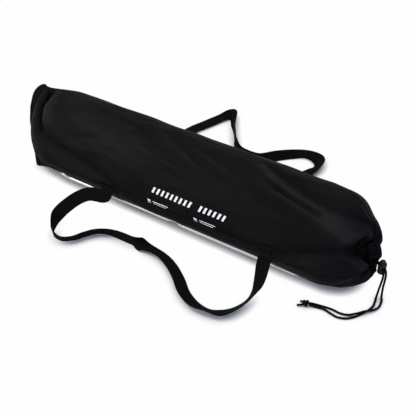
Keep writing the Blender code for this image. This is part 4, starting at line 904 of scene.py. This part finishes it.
# %% Webbing handles
HANDLE_STEP = 2.5 * MM
FRONT_HANDLE = [
    (-117, -64.4, 47.84, 180, 0), (-117, -65.6, 45.05, 180, 0), (-118.3, -67.0, 40.7, 176, 9),
    (-124.5, -68.7, 38.2, 168, 28), (-133.5, -69.9, 37.6, 158, 39), (-142.5, -73.0, 37.2, 151, 43),
    (-150.0, -79.0, 35.2, 147, 43), (-157, -88, 31.6, 148, 42), (-163, -98.5, 26.6, 152, 42),
    (-167.5, -109.5, 21.6, 160, 46), (-169, -120.5, 17.0, 176, 60), (-166.5, -130.5, 14.0, 196, 76),
    (-162, -139.0, 12.2, 216, 84),
    (-155, -145.5, 11.2, 258, 80), (-139, -148, 10.2, 282, 64), (-126.5, -138.5, 9.6, 286, 58),
    (-116.5, -122.5, 9.5, 287, 60), (-106.5, -110.0, 9.6, 286, 62), (-94, -103.0, 9.9, 284, 68),
    (-79, -100.0, 10.4, 278, 78), (-63, -99.0, 10.6, 268, 84), (-47, -98.5, 10.4, 262, 88),
    (-31, -94, 5.2, 70, -10), (-3.5, -96.0, 5.0, 62, -25), (18.5, -105.0, 5.0, 56, -25),
    (41.5, -121, 5.2, 52, -25), (62.5, -139.5, 5.4, 62, -24), (85.5, -151, 6.0, 84, -26),
    (106, -152.5, 7.6, 112, -38), (123.5, -147.5, 6.8, 126, -26), (136, -135, 8.6, 142, -38),
    (143.6, -120, 10.4, 156, -48), (147, -107, 12.6, 163, -54), (148, -97, 16.4, 166, -48),
    (148, -89, 22.5, 171, -34), (147, -80.5, 32, 176, -18), (144.8, -72.4, 39.5, 179, -4),
    (144, -67.64, 46.06, 180, 0), (144, -66.44, 49.45, 180, 0),
]
REAR_HANDLE = [
    (-117, 64.4, 47.84, 180, 0), (-117, 65.6, 44.85, 180, 0), (-118, 71, 36, 179, 2),
    (-121, 79, 25, 176, 6), (-125, 90, 13, 172, 6),
    (-129, 106, 5.6, 169, 0), (-130, 128, 3.4, 166, -6), (-127.5, 152, 3.2, 163, -8),
    (-121.5, 176, 3.2, 161, -8), (-112.5, 196, 3.2, 159, -7), (-104.5, 214, 3.2, 157, -6),
    (-97, 230.5, 3.4, 150, -4), (-89.5, 240.5, 5.6, 112, 20), (-80, 236, 9.0, 66, 50),
    (-71, 221, 10.2, 40, 64), (-60, 204, 10.8, 31, 84), (-50, 189, 10.7, 34, 86),
    (-40, 173.5, 10.4, 44, 80), (-22, 156, 9.0, 74, 54), (8, 162, 5.4, 114, 22),
    (30, 187, 4.0, 130, 12), (46, 202, 3.0, 128, 8), (63.5, 214.5, 3.0, 114, -2),
    (82, 214, 4.4, 74, 12), (95.5, 203, 7.8, 24, 36), (98, 189.5, 8.0, -14, 38),
    (92, 176, 5.2, -32, 18), (85.5, 158, 3.6, -14, 4), (88.5, 138, 3.8, 12, -8),
    (102, 119, 4.4, 30, -10), (120, 102, 8.0, 34, -4), (134, 87, 19, 24, 0),
    (141, 78, 31, 8, 0), (143.6, 71.6, 39.5, 2, 0), (144, 67.64, 46.06, 0, 0), (144, 66.44, 49.45, 0, 0),
]
# Half the outline of the webbing: across and out, in millimetres, with its edges a little thicker
WEB = [(-9.95, 0.0), (-9.85, 0.38), (-9.5, 0.58), (-8.6, 0.6), (-7.4, 0.53), (-5.0, 0.52), (-2.5, 0.52),
       (0.0, 0.52), (2.5, 0.52), (5.0, 0.52), (7.4, 0.53), (8.6, 0.6), (9.5, 0.58), (9.85, 0.38)]
WEB_RING = [(a * MM, -b * MM) for a, b in WEB + [(-a, -b) for a, b in WEB]]
WEB_GIRTH = [a for a, _ in WEB_RING] + [WEB_RING[0][0]]


def edge_direction(heading, rise):
    heading, rise = math.radians(heading), math.radians(rise)
    return Vector((math.cos(heading) * math.cos(rise), math.sin(heading) * math.cos(rise), math.sin(rise)))


def handle(name, route, body):
    centres = in_metres([point[:3] for point in route])
    edges = [edge_direction(point[3], point[4]) for point in route]
    path = smooth_path(centres, HANDLE_STEP)
    beside = [centre + edge * 5.0 * MM for centre, edge in zip(centres, edges)]
    turned = smooth_path(beside, HANDLE_STEP, centres)
    sides = [edge - centre for centre, edge in zip(path, turned)]
    strap = sweep(name, path, sides, WEB_RING, WEB_GIRTH, WEBBING, body=body, slot="webbing", smooth=35.0)
    for vertex in strap.data.vertices:
        vertex.co.z = max(vertex.co.z, 0.0)
    print(name, "is", round(path_length(path) * 1000), "mm long between its sewn ends")
    return strap


for name, route in (("front_handle", FRONT_HANDLE), ("rear_handle", REAR_HANDLE)):
    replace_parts(handle(f"{name}_webbing", route, name), f"{name}_loop")

# %% [markdown]
# The sewn ends lie flat on the cloth under the seam ridge. Each has a box of stitches with a cross in it,
# the usual way to spread the pull of a strap.

# %% Sewn ends of the handles
SEWN_DEGREES = np.linspace(90.6, 103.0, 12)
SEWN_LENGTH, SEWN_LIFT, BOX_LIFT = 14.0, 0.9, 1.45
STITCH_STEP, DEGREE_OF_CLOTH = 3.0, 1.15
# The corners of the stitch box in the order of sewing: along from the middle of the strap, and degrees
STITCH_BOX = [(-7.5, 91.8), (-7.5, 99.0), (7.5, 99.0), (7.5, 91.8),
              (-7.5, 91.8), (7.5, 99.0), (-7.5, 99.0), (7.5, 91.8)]


def sew_box(name, middle, side):
    for line, ((x0, d0), (x1, d1)) in enumerate(zip(STITCH_BOX, STITCH_BOX[1:])):
        count = max(2, round(math.hypot(x1 - x0, (d1 - d0) * DEGREE_OF_CLOTH) / STITCH_STEP))
        shares = [step / count for step in range(count + 1)]
        places = [(middle + x0 + (x1 - x0) * share, side * (d0 + (d1 - d0) * share)) for share in shares]
        stitch_row(f"{name}_{line}", *on_cloth(places, BOX_LIFT))


for name, side in (("front", 1.0), ("rear", -1.0)):
    for end, middle in zip(("closed", "mouth"), HANDLE_PLACES):
        rows = [[(middle + a / MM, degrees, SEWN_LIFT + b / MM) for a, b in WEB_RING]
                for degrees in SEWN_DEGREES]
        sewn = cloth_grid(f"{name}_sewn_end_{end}", grid_on_cloth(rows, side),
                          np.linspace(0.0, SEWN_LENGTH * MM, len(rows)), WEB_GIRTH, WEBBING, wrap=True,
                          slot="webbing", smooth=35.0)
        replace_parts(sewn, f"{name}_handle_sewn_end_{end}")
        sew_box(f"{name}_box_{end}", middle, side)
print("4 sewn ends")

# %% [markdown]
# ## The gathered mouth
# The hem is a channel of cloth that is pushed together along the drawstring, so its free edge stands in
# small uneven pleats. Two waves of different lengths give that unevenness. Where the two ends of the
# drawstring come out, the hem stops and closes down on the cord.

# %% Hem of the mouth
HEM_MIDDLE = Vector((HEM_X, 0.0, HEM_Z))
HEM_OUT = Vector((math.cos(HEM_TILT), 0.0, math.sin(HEM_TILT)))
HEM_UP = Vector((-math.sin(HEM_TILT), 0.0, math.cos(HEM_TILT)))
FRONT = Vector((0.0, -1.0, 0.0))
HEM_GAP = math.radians(32.0)
HEM_ROWS, HEM_STITCHES, HEM_CLOTH_LENGTH = 260, 60, 0.30
UNDER_CORD, OVER_CORD = (-180, -150, -120, -90, -60, -35, -10), (62, 90, 120, 150)
# The free edge: each place out and away in millimetres, with its shares of the flare out and away
FREE_EDGE = [(2.8, 0.0, 0.55, 0.10), (3.0, 0.3, 1.00, 0.42), (3.1, 0.8, 1.08, 0.50),
             (2.8, 1.2, 0.90, 0.46), (2.2, 1.7, 0.40, 0.26)]


def hem_place(angle, out, away):
    """A point by the drawstring's oval, in metres: out along the mouth's axis and away from its middle."""
    oval = HEM_MIDDLE + FRONT * HEM_HALF_WIDTH * math.sin(angle) + HEM_UP * HEM_HALF_HEIGHT * math.cos(angle)
    radial = FRONT * (math.sin(angle) / HEM_HALF_WIDTH) + HEM_UP * (math.cos(angle) / HEM_HALF_HEIGHT)
    return (oval + HEM_OUT * out + radial.normalized() * away) * MM


def round_the_cord(angle, turns, radius, swell):
    """Part of the channel round the drawstring. The swell makes it fatter at its sides."""
    places = []
    for turn in np.radians(turns):
        reach = radius + swell * abs(math.sin(turn))
        places.append(hem_place(angle, reach * math.cos(turn), reach * math.sin(turn)))
    return places


def hem_row(row):
    angle = -math.pi + HEM_GAP + (2.0 * math.pi - 2.0 * HEM_GAP) * row / (HEM_ROWS - 1)
    fade = min(1.0, (math.pi - HEM_GAP * 0.6 - abs(angle)) * 1.6)
    wave = 0.62 * math.cos(14.0 * angle + 0.8 * math.sin(2.0 * angle)) + 0.38 * math.cos(9.0 * angle + 1.3)
    flare = (3.4 + 1.5 * wave) * fade
    ring = round_the_cord(angle, UNDER_CORD, 2.75, 0.3 * wave)
    ring += [hem_place(angle, out + flare * more_out, away + flare * more_away)
             for out, away, more_out, more_away in FREE_EDGE]
    ring += round_the_cord(angle, OVER_CORD, 2.85, 0.35 * wave)
    shrink = min(1.0, 0.55 + 0.09 * min(row, HEM_ROWS - 1 - row))
    heart = hem_place(angle, 0.0, 0.0)
    return [heart + (point - heart) * shrink for point in ring]


hem_points = np.array([hem_row(row) for row in range(HEM_ROWS)])
hem = cloth_grid("gathered_hem", hem_points, np.linspace(0.0, HEM_CLOTH_LENGTH, HEM_ROWS),
                 np.arange(hem_points.shape[1] + 1) * 1.6 * MM, BAG_CLOTH, wrap=True, slot="coated_bag_fabric")
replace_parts(hem, "mouth_hem")
hem_stitches = [hem_place(angle, 2.9, -0.55) for angle in np.linspace(-2.5, 2.5, HEM_STITCHES + 1)]
stitch_row("hem_stitches", hem_stitches, [HEM_OUT] * len(hem_stitches))
print("the hem's oval is", 2 * HEM_HALF_WIDTH, "by", 2 * HEM_HALF_HEIGHT, "mm")

# %% [markdown]
# The drawstring itself goes round inside that hem and through the two bores of the cord lock. Its route is
# the one that the model's own cord follows.

# %% Drawstring in the hem
STRING_START = [(286.55, -4.88, 51.0), (282.83, -1.17, 51.0), (278.77, 2.90, 51.0), (276.2, 1.9, 50.9),
                (273.0, 0.2, 49.3), (269.4, -1.4, 47.4), (266.2, -3.4, 46.8), (264.0, -5.6, 47.3)]
STRING_END = [(264.0, 5.6, 47.3), (266.2, 3.8, 46.8), (269.6, 3.0, 47.4), (273.2, 3.8, 49.3),
              (277.4, 5.6, 50.9), (281.10, 5.23, 51.0), (285.17, 1.17, 51.0), (288.90, -2.56, 51.0)]
STRING_DIAMETER = CORD_DIAMETER * 0.98
HALF_ROUND = math.pi - HEM_GAP * 0.95

string_points = [hem_place(angle, 0.0, 0.0) for angle in np.linspace(HALF_ROUND, -HALF_ROUND, 29)]
string_path = smooth_path(in_metres(STRING_START) + string_points + in_metres(STRING_END), 2.0 * MM)
string = round_cord("cord_in_hem", string_path, STRING_DIAMETER, body="bag", slot="braided_cord")
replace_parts(string, "drawstring_in_hem")
print("cord in the hem and the lock:", round(path_length(string_path) * 1000), "mm")

# %% [markdown]
# ## Hard plastic, steel and rubber
# The cord lock is moulded in acetal, a tough plastic, with a fine spark-eroded grain and a soft gloss. Inside
# the bag are poles and pegs of zinc-plated steel, drawn lengthwise, so their shine is streaked that way.
# The feet are black synthetic rubber, which is dull and slightly pitted, and the suction cups are clear soft
# vinyl. Only metal gets a metallic value, and the vinyl lets light through.

# %% Finishes of the hard pieces
GRAIN, DRAWN_STREAK, PITTING, CLOUD = 0.5 * MM, 0.8 * MM, 0.7 * MM, 6.0 * MM


def object_noise(tree, size, detail=2.0, stretch=(1.0, 1.0, 1.0)):
    """An uneven pattern whose patches are about one size wide, fixed to the piece."""
    place = add_node(tree, "TexCoord").outputs["Object"]
    stretched = add_node(tree, "Mapping", {0: place, "Scale": stretch})
    return add_node(tree, "TexNoise", {0: stretched, "Scale": 1.0 / size, "Detail": detail})


def moulded_acetal():
    material, tree, shader = start_finish("acetal_plastic_black")
    grain = object_noise(tree, GRAIN, 3.0)
    fill_inputs(tree, shader, {
        "Base Color": "#0f0f10", "IOR": 1.48, "Specular IOR Level": 0.16,
        "Roughness": add_node(tree, "MapRange", {0: grain, 3: 0.26, 4: 0.40}),
        "Normal": add_node(tree, "Bump", {"Height": grain, "Distance": 0.03 * MM, "Strength": 0.5})})
    return material


def zinc_plated_steel():
    material, tree, shader = start_finish("zinc_plated_steel")
    drawn = object_noise(tree, DRAWN_STREAK, 3.0, (0.03, 1.0, 1.0))
    fill_inputs(tree, shader, {
        "Base Color": add_node(tree, "MixRGB", {0: drawn, 1: "#b4b7ba", 2: "#c9cbcc"}), "Metallic": 1.0,
        "Roughness": add_node(tree, "MapRange", {0: drawn, 3: 0.22, 4: 0.38})})
    return material


def synthetic_rubber():
    material, tree, shader = start_finish("synthetic_rubber_black")
    pits = object_noise(tree, PITTING, 3.0)
    fill_inputs(tree, shader, {
        "Base Color": "#1b1b1c", "Roughness": 0.72,
        "Normal": add_node(tree, "Bump", {"Height": pits, "Distance": 0.05 * MM, "Strength": 0.5})})
    return material


def soft_vinyl():
    material, tree, shader = start_finish("soft_vinyl_clear")
    haze = object_noise(tree, CLOUD)
    fill_inputs(tree, shader, {
        "Base Color": "#e4e8e6", "IOR": 1.53, "Transmission Weight": 0.7,
        "Roughness": add_node(tree, "MapRange", {0: haze, 3: 0.10, 4: 0.22})})
    return material


PLASTIC, STEEL, RUBBER, VINYL = moulded_acetal(), zinc_plated_steel(), synthetic_rubber(), soft_vinyl()
HARD_FINISHES = {"cord_lock_barrel": PLASTIC, "cord_lock_plunger": PLASTIC, "cord_lock_spring": STEEL}
for letter in ("a", "b"):
    HARD_FINISHES |= {f"pole_{letter}_foot": RUBBER, f"pole_{letter}_tip": STEEL}
for number in (1, 2):
    HARD_FINISHES |= {f"suction_cup_{number}": VINYL, f"suction_hook_{number}": PLASTIC}
for number in (1, 2, 3, 4):
    for node in (f"pole_a_section_{number}", f"pole_b_section_{number}", f"ground_peg_{number}"):
        HARD_FINISHES[node] = STEEL
for node, finish in HARD_FINISHES.items():
    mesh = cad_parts[node].data
    mesh.materials.clear()
    mesh.materials.append(finish)
print(len(HARD_FINISHES), "hard pieces have their finish")

# %% [markdown]
# The spring of the cord lock is a coil of half-millimetre wire, swept here along a helix. It flattens when the
# button is pressed.

# %% Spring of the cord lock
SPRING_MIDDLE, SPRING_FOOT, SPRING_HEIGHT = 284.0, 41.98, 4.65
COIL_RADIUS, COIL_TURNS, COIL_STEPS, WIRE_DIAMETER = 3.0, 3.5, 140, 0.5 * MM

coil = []
for step in range(COIL_STEPS + 1):
    turn = 2.0 * math.pi * COIL_TURNS * step / COIL_STEPS
    coil.append(Vector((SPRING_MIDDLE + COIL_RADIUS * math.cos(turn), COIL_RADIUS * math.sin(turn),
                        SPRING_FOOT + SPRING_HEIGHT * step / COIL_STEPS)) * MM)
spring = round_cord("lock_spring_coil", coil, WIRE_DIAMETER, STEEL, steps=8, body="cord_lock",
                    slot="bright_steel")
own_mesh(spring)
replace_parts(spring, "cord_lock_spring")
print("spring wire:", round(path_length(coil) * 1000), "mm")

# %% [markdown]
# ## The rolled canopy
# The awning's cloth is folded in four and rolled up. It is one sheet of silver-coated polyester, and the thin
# coating gives it a dull silver shine that breaks up on small crumples. It is modelled as it lies: four
# layers that turn back at both ends of the roll, wound in a spiral from the middle out. The turn's pitch
# follows from the sheet's length, which has to fit between the heart of the roll and its rim.

# %% Rolled canopy
CANOPY, LAYERS = (1.5, 3.0), 4
HEART_RADIUS, RIM_GAP = 5.0 * MM, 0.3 * MM
LAYER_SPACING, STEPS_PER_TURN = 0.22, 36
CRUMPLE_SIZE = 12.0 * MM


def silver_polyester():
    material, tree, shader = start_finish("silver_coated_polyester")
    cloth, _, _ = cloth_sides(tree)
    crumple = add_node(tree, "TexNoise", {0: cloth, "Scale": 1.0 / CRUMPLE_SIZE, "Detail": 4.0})
    fill_inputs(tree, shader, {
        "Base Color": add_node(tree, "MixRGB", {0: crumple, 1: "#8d9194", 2: "#b3b6b8"}),
        "Normal": add_node(tree, "Bump", {"Height": crumple, "Distance": 0.6 * MM, "Strength": 0.4}),
        "Metallic": 0.35, "Roughness": 0.42})
    return material


roll_low, roll_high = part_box("canopy_roll")
roll_x, roll_y, roll_z = [(low + high) / 2.0 for low, high in zip(roll_low, roll_high)]
rim_radius = (roll_high[2] - roll_low[2]) / 2.0 - RIM_GAP
pitch = math.pi * (rim_radius ** 2 - HEART_RADIUS ** 2) / CANOPY[1]
turns = (rim_radius - HEART_RADIUS) / pitch


def round_roll(x, radius, turn):
    return x, roll_y + radius * math.sin(turn), roll_z + radius * math.cos(turn)


profile = []
for layer in range(LAYERS):
    way = 1.0 if layer % 2 == 0 else -1.0
    for share in (0.0, 0.02, 0.5, 0.98, 1.0):
        depth = float(layer)
        if share == 0.0 and layer > 0:
            depth -= 0.5
        if share == 1.0 and layer < LAYERS - 1:
            depth += 0.5
        profile.append((roll_x + CANOPY[0] / LAYERS * way * (share - 0.5), depth * pitch * LAYER_SPACING))
roll_turns = np.linspace(0.0, turns, round(turns * STEPS_PER_TURN) + 1)
roll_points = np.array([[round_roll(x, HEART_RADIUS + pitch * turn - depth, 2.0 * math.pi * turn)
                         for x, depth in profile] for turn in roll_turns])
rolled = cloth_grid("rolled_canopy", roll_points, np.linspace(0.0, CANOPY[1], len(roll_turns)),
                    np.linspace(0.0, CANOPY[0], len(profile)), silver_polyester(), slot="canopy_fabric")
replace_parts(rolled, "canopy_roll")
print("the canopy is wound", round(turns, 1), "times at", round(pitch * 1000, 2), "mm a turn")

# %% [markdown]
# Two ties of the handles' webbing hold the roll. Each is a ring round it that stays open by one step, where
# a real tie is knotted.

# %% Ties of the roll
for end in ("closed", "mouth"):
    low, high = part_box(f"roll_tie_{end}")
    middle, radius = (low[0] + high[0]) / 2.0, (high[2] - low[2]) / 2.0 - 0.6 * MM
    circle = [Vector(round_roll(middle, radius, math.radians(degrees))) for degrees in range(0, 357, 6)]
    sides = [Vector((1.0, 0.0, 0.0))] * len(circle)
    tie = sweep(f"roll_tie_{end}_webbing", circle, sides, WEB_RING, WEB_GIRTH, WEBBING, slot="webbing", smooth=35.0)
    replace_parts(tie, f"roll_tie_{end}")
print("2 ties round the roll")

# %% [markdown]
# ## Printed marks
# The side of the bag carries marks in white screen-print ink. These are plain: a row of slanted bars with
# two small squares below, each beside short lines. The ink is a film that lies in the cloth, so each mark
# is a small grid of points laid on the folds and lifted by a fraction of a millimetre. The ink is matt, and
# a little thinner in places, where the cloth shows through as a greyer white.

# %% Printed marks
INK_WEAR, INK_LIFT = 1.6 * MM, 0.22
MARK_ROWS, MARK_STEP = 9, 1.2
BAR_STEP, BAR_WIDTH, BAR_SLANT = 7.4, 3.4, 3.0


def screen_print_ink():
    material, tree, shader = start_finish("screen_print_ink_white")
    wear = object_noise(tree, INK_WEAR, 4.0)
    fill_inputs(tree, shader, {
        "Base Color": add_node(tree, "MixRGB", {0: wear, 1: "#dcdcdc", 2: "#f4f4f4"}),
        "Normal": add_node(tree, "Bump", {"Height": wear, "Distance": 0.05 * MM, "Strength": 0.3}),
        "Roughness": 0.55, "Specular IOR Level": 0.3})
    return material


INK = screen_print_ink()


def printed_patch(name, left, right, top, bottom, slant=0.0):
    """A patch between two places along the bag and two angles. Slant shifts its top to the right, in mm."""
    columns = max(3, round((right - left) / MARK_STEP))
    rows = []
    for share in np.linspace(1.0, 0.0, MARK_ROWS):
        degrees = top + (bottom - top) * share
        rows.append([(left + (right - left) * column / columns + slant * (1.0 - share), degrees, INK_LIFT)
                     for column in range(columns + 1)])
    return cloth_grid(name, grid_on_cloth(rows), np.zeros(MARK_ROWS), np.zeros(columns + 1), INK)


bar_places = [-38.0 + BAR_STEP * k for k in range(9)] + [38.0 + BAR_STEP * k for k in range(6)]
for number, place in enumerate(bar_places, 1):
    printed_patch(f"bar_{number}", place, place + BAR_WIDTH, 66.8, 74.6, BAR_SLANT)
for number, place in enumerate((-44.0, 32.0), 1):
    printed_patch(f"square_{number}", place, place + 5.0, 86.0, 90.0)
    printed_patch(f"dash_{number}", place, place + 5.0, 91.2, 92.6)
    printed_patch(f"long_line_{number}", place + 9.0, place + 34.0, 86.6, 88.4)
    printed_patch(f"short_line_{number}", place + 9.0, place + 30.0, 90.6, 92.0)
print(len(bar_places), "bars and 2 squares with their lines")

# %% [markdown]
# ## Floor and light
# A pale sheet of matt paper and four soft lamps, two high and two low, are a plain studio. The left ones are a
# little warmer and the right ones cooler, which tells the two sides of a black fold apart. They stay at a
# level at which a colour looks as it was written. The white surroundings are only for what is seen directly
# or in a gloss, so they don't light the bag from all round and wash its folds out. The floor turns to plain
# white where nothing stands near it. Close to the bag, ambient occlusion fades that white out, which paints a
# contact shadow over the paper's own lit shading. In the picture the paper's grey shows only there, and it
# makes that shadow darker.

# %% Floor, world and lamps
DIM_SURROUNDINGS = (0.10, 0.10, 0.11, 1.0)
FLOOR_SIZE = 12.0


def seen_directly(tree):
    """1 for what is seen, also in a gloss or through something clear, and 0 for light on the object."""
    rays = add_node(tree, "LightPath").outputs
    seen = add_node(tree, "Math", {0: rays["Is Camera Ray"], 1: rays["Is Glossy Ray"]}, operation="MAXIMUM")
    return add_node(tree, "Math", {0: seen, 1: rays["Is Transmission Ray"]}, operation="MAXIMUM")


def floor_paper():
    material, tree, shader = start_finish("white_seamless_paper")
    grain = add_node(tree, "TexNoise", {"Scale": 900.0, "Detail": 2.0})
    fill_inputs(tree, shader, {
        "Base Color": "#c4c4c4", "Roughness": 0.9, "Specular IOR Level": 0.1,
        "Normal": add_node(tree, "Bump", {"Height": grain, "Distance": 0.02 * MM, "Strength": 0.2})})
    white = add_node(tree, "Emission", {"Color": "#ffffff", "Strength": 1.0})
    # Painted contact shadow: ambient occlusion fades the white out near the bag, so the grey paper's own shading
    # shows there
    air = add_node(tree, "AmbientOcclusion", {"Distance": AIR_REACH}, samples=12).outputs["AO"]
    open_air = add_node(tree, "MapRange", {0: air, 1: 0.40, 2: 0.92, 3: 0.0, 4: 0.98})
    share = add_node(tree, "Math", {0: seen_directly(tree), 1: open_air}, operation="MULTIPLY")
    mixed = add_node(tree, "MixShader", {0: share, 1: shader, 2: white})
    fill_inputs(tree, tree.nodes["Material Output"], {"Surface": mixed})
    return material


bpy.ops.mesh.primitive_plane_add(size=FLOOR_SIZE, location=(0.0, 0.0, 0.0))
floor = bpy.context.object
floor.name = "paper_floor"
floor.data.materials.append(floor_paper())

world = bpy.data.worlds.new("studio")
world.use_nodes = True
bpy.context.scene.world = world
sky = world.node_tree
surroundings = add_node(sky, "MixRGB", {0: seen_directly(sky), 1: DIM_SURROUNDINGS, 2: "#ffffff"})
fill_inputs(sky, sky.nodes["Background"], {"Color": surroundings, "Strength": 1.0})


def soft_lamp(name, place, aim, size, power, colour):
    data = bpy.data.lights.new(name, "AREA")
    data.shape = "RECTANGLE"
    data.size, data.size_y = size
    data.energy = power
    data.color = linear(colour)[:3]
    lamp = bpy.data.objects.new(name, data)
    lamp.location = place
    lamp.rotation_euler = (Vector(aim) - Vector(place)).to_track_quat("-Z", "Y").to_euler()
    bpy.context.scene.collection.objects.link(lamp)


soft_lamp("high_left_softbox", (-0.30, -0.38, 1.0), (-0.20, 0.0, 0.05), (0.35, 0.3), 7.0, "#fffaee")
soft_lamp("low_left_softbox", (-0.75, -0.55, 0.5), (-0.15, 0.0, 0.05), (0.4, 0.3), 4.2, "#fff9ea")
soft_lamp("low_right_softbox", (0.60, -0.70, 0.5), (0.15, 0.0, 0.05), (0.4, 0.3), 4.2, "#d8deff")
soft_lamp("high_right_softbox", (0.50, -0.16, 0.95), (0.22, 0.0, 0.05), (0.35, 0.35), 2.6, "#c8d4ff")
bpy.context.scene.view_settings.view_transform = "Standard"
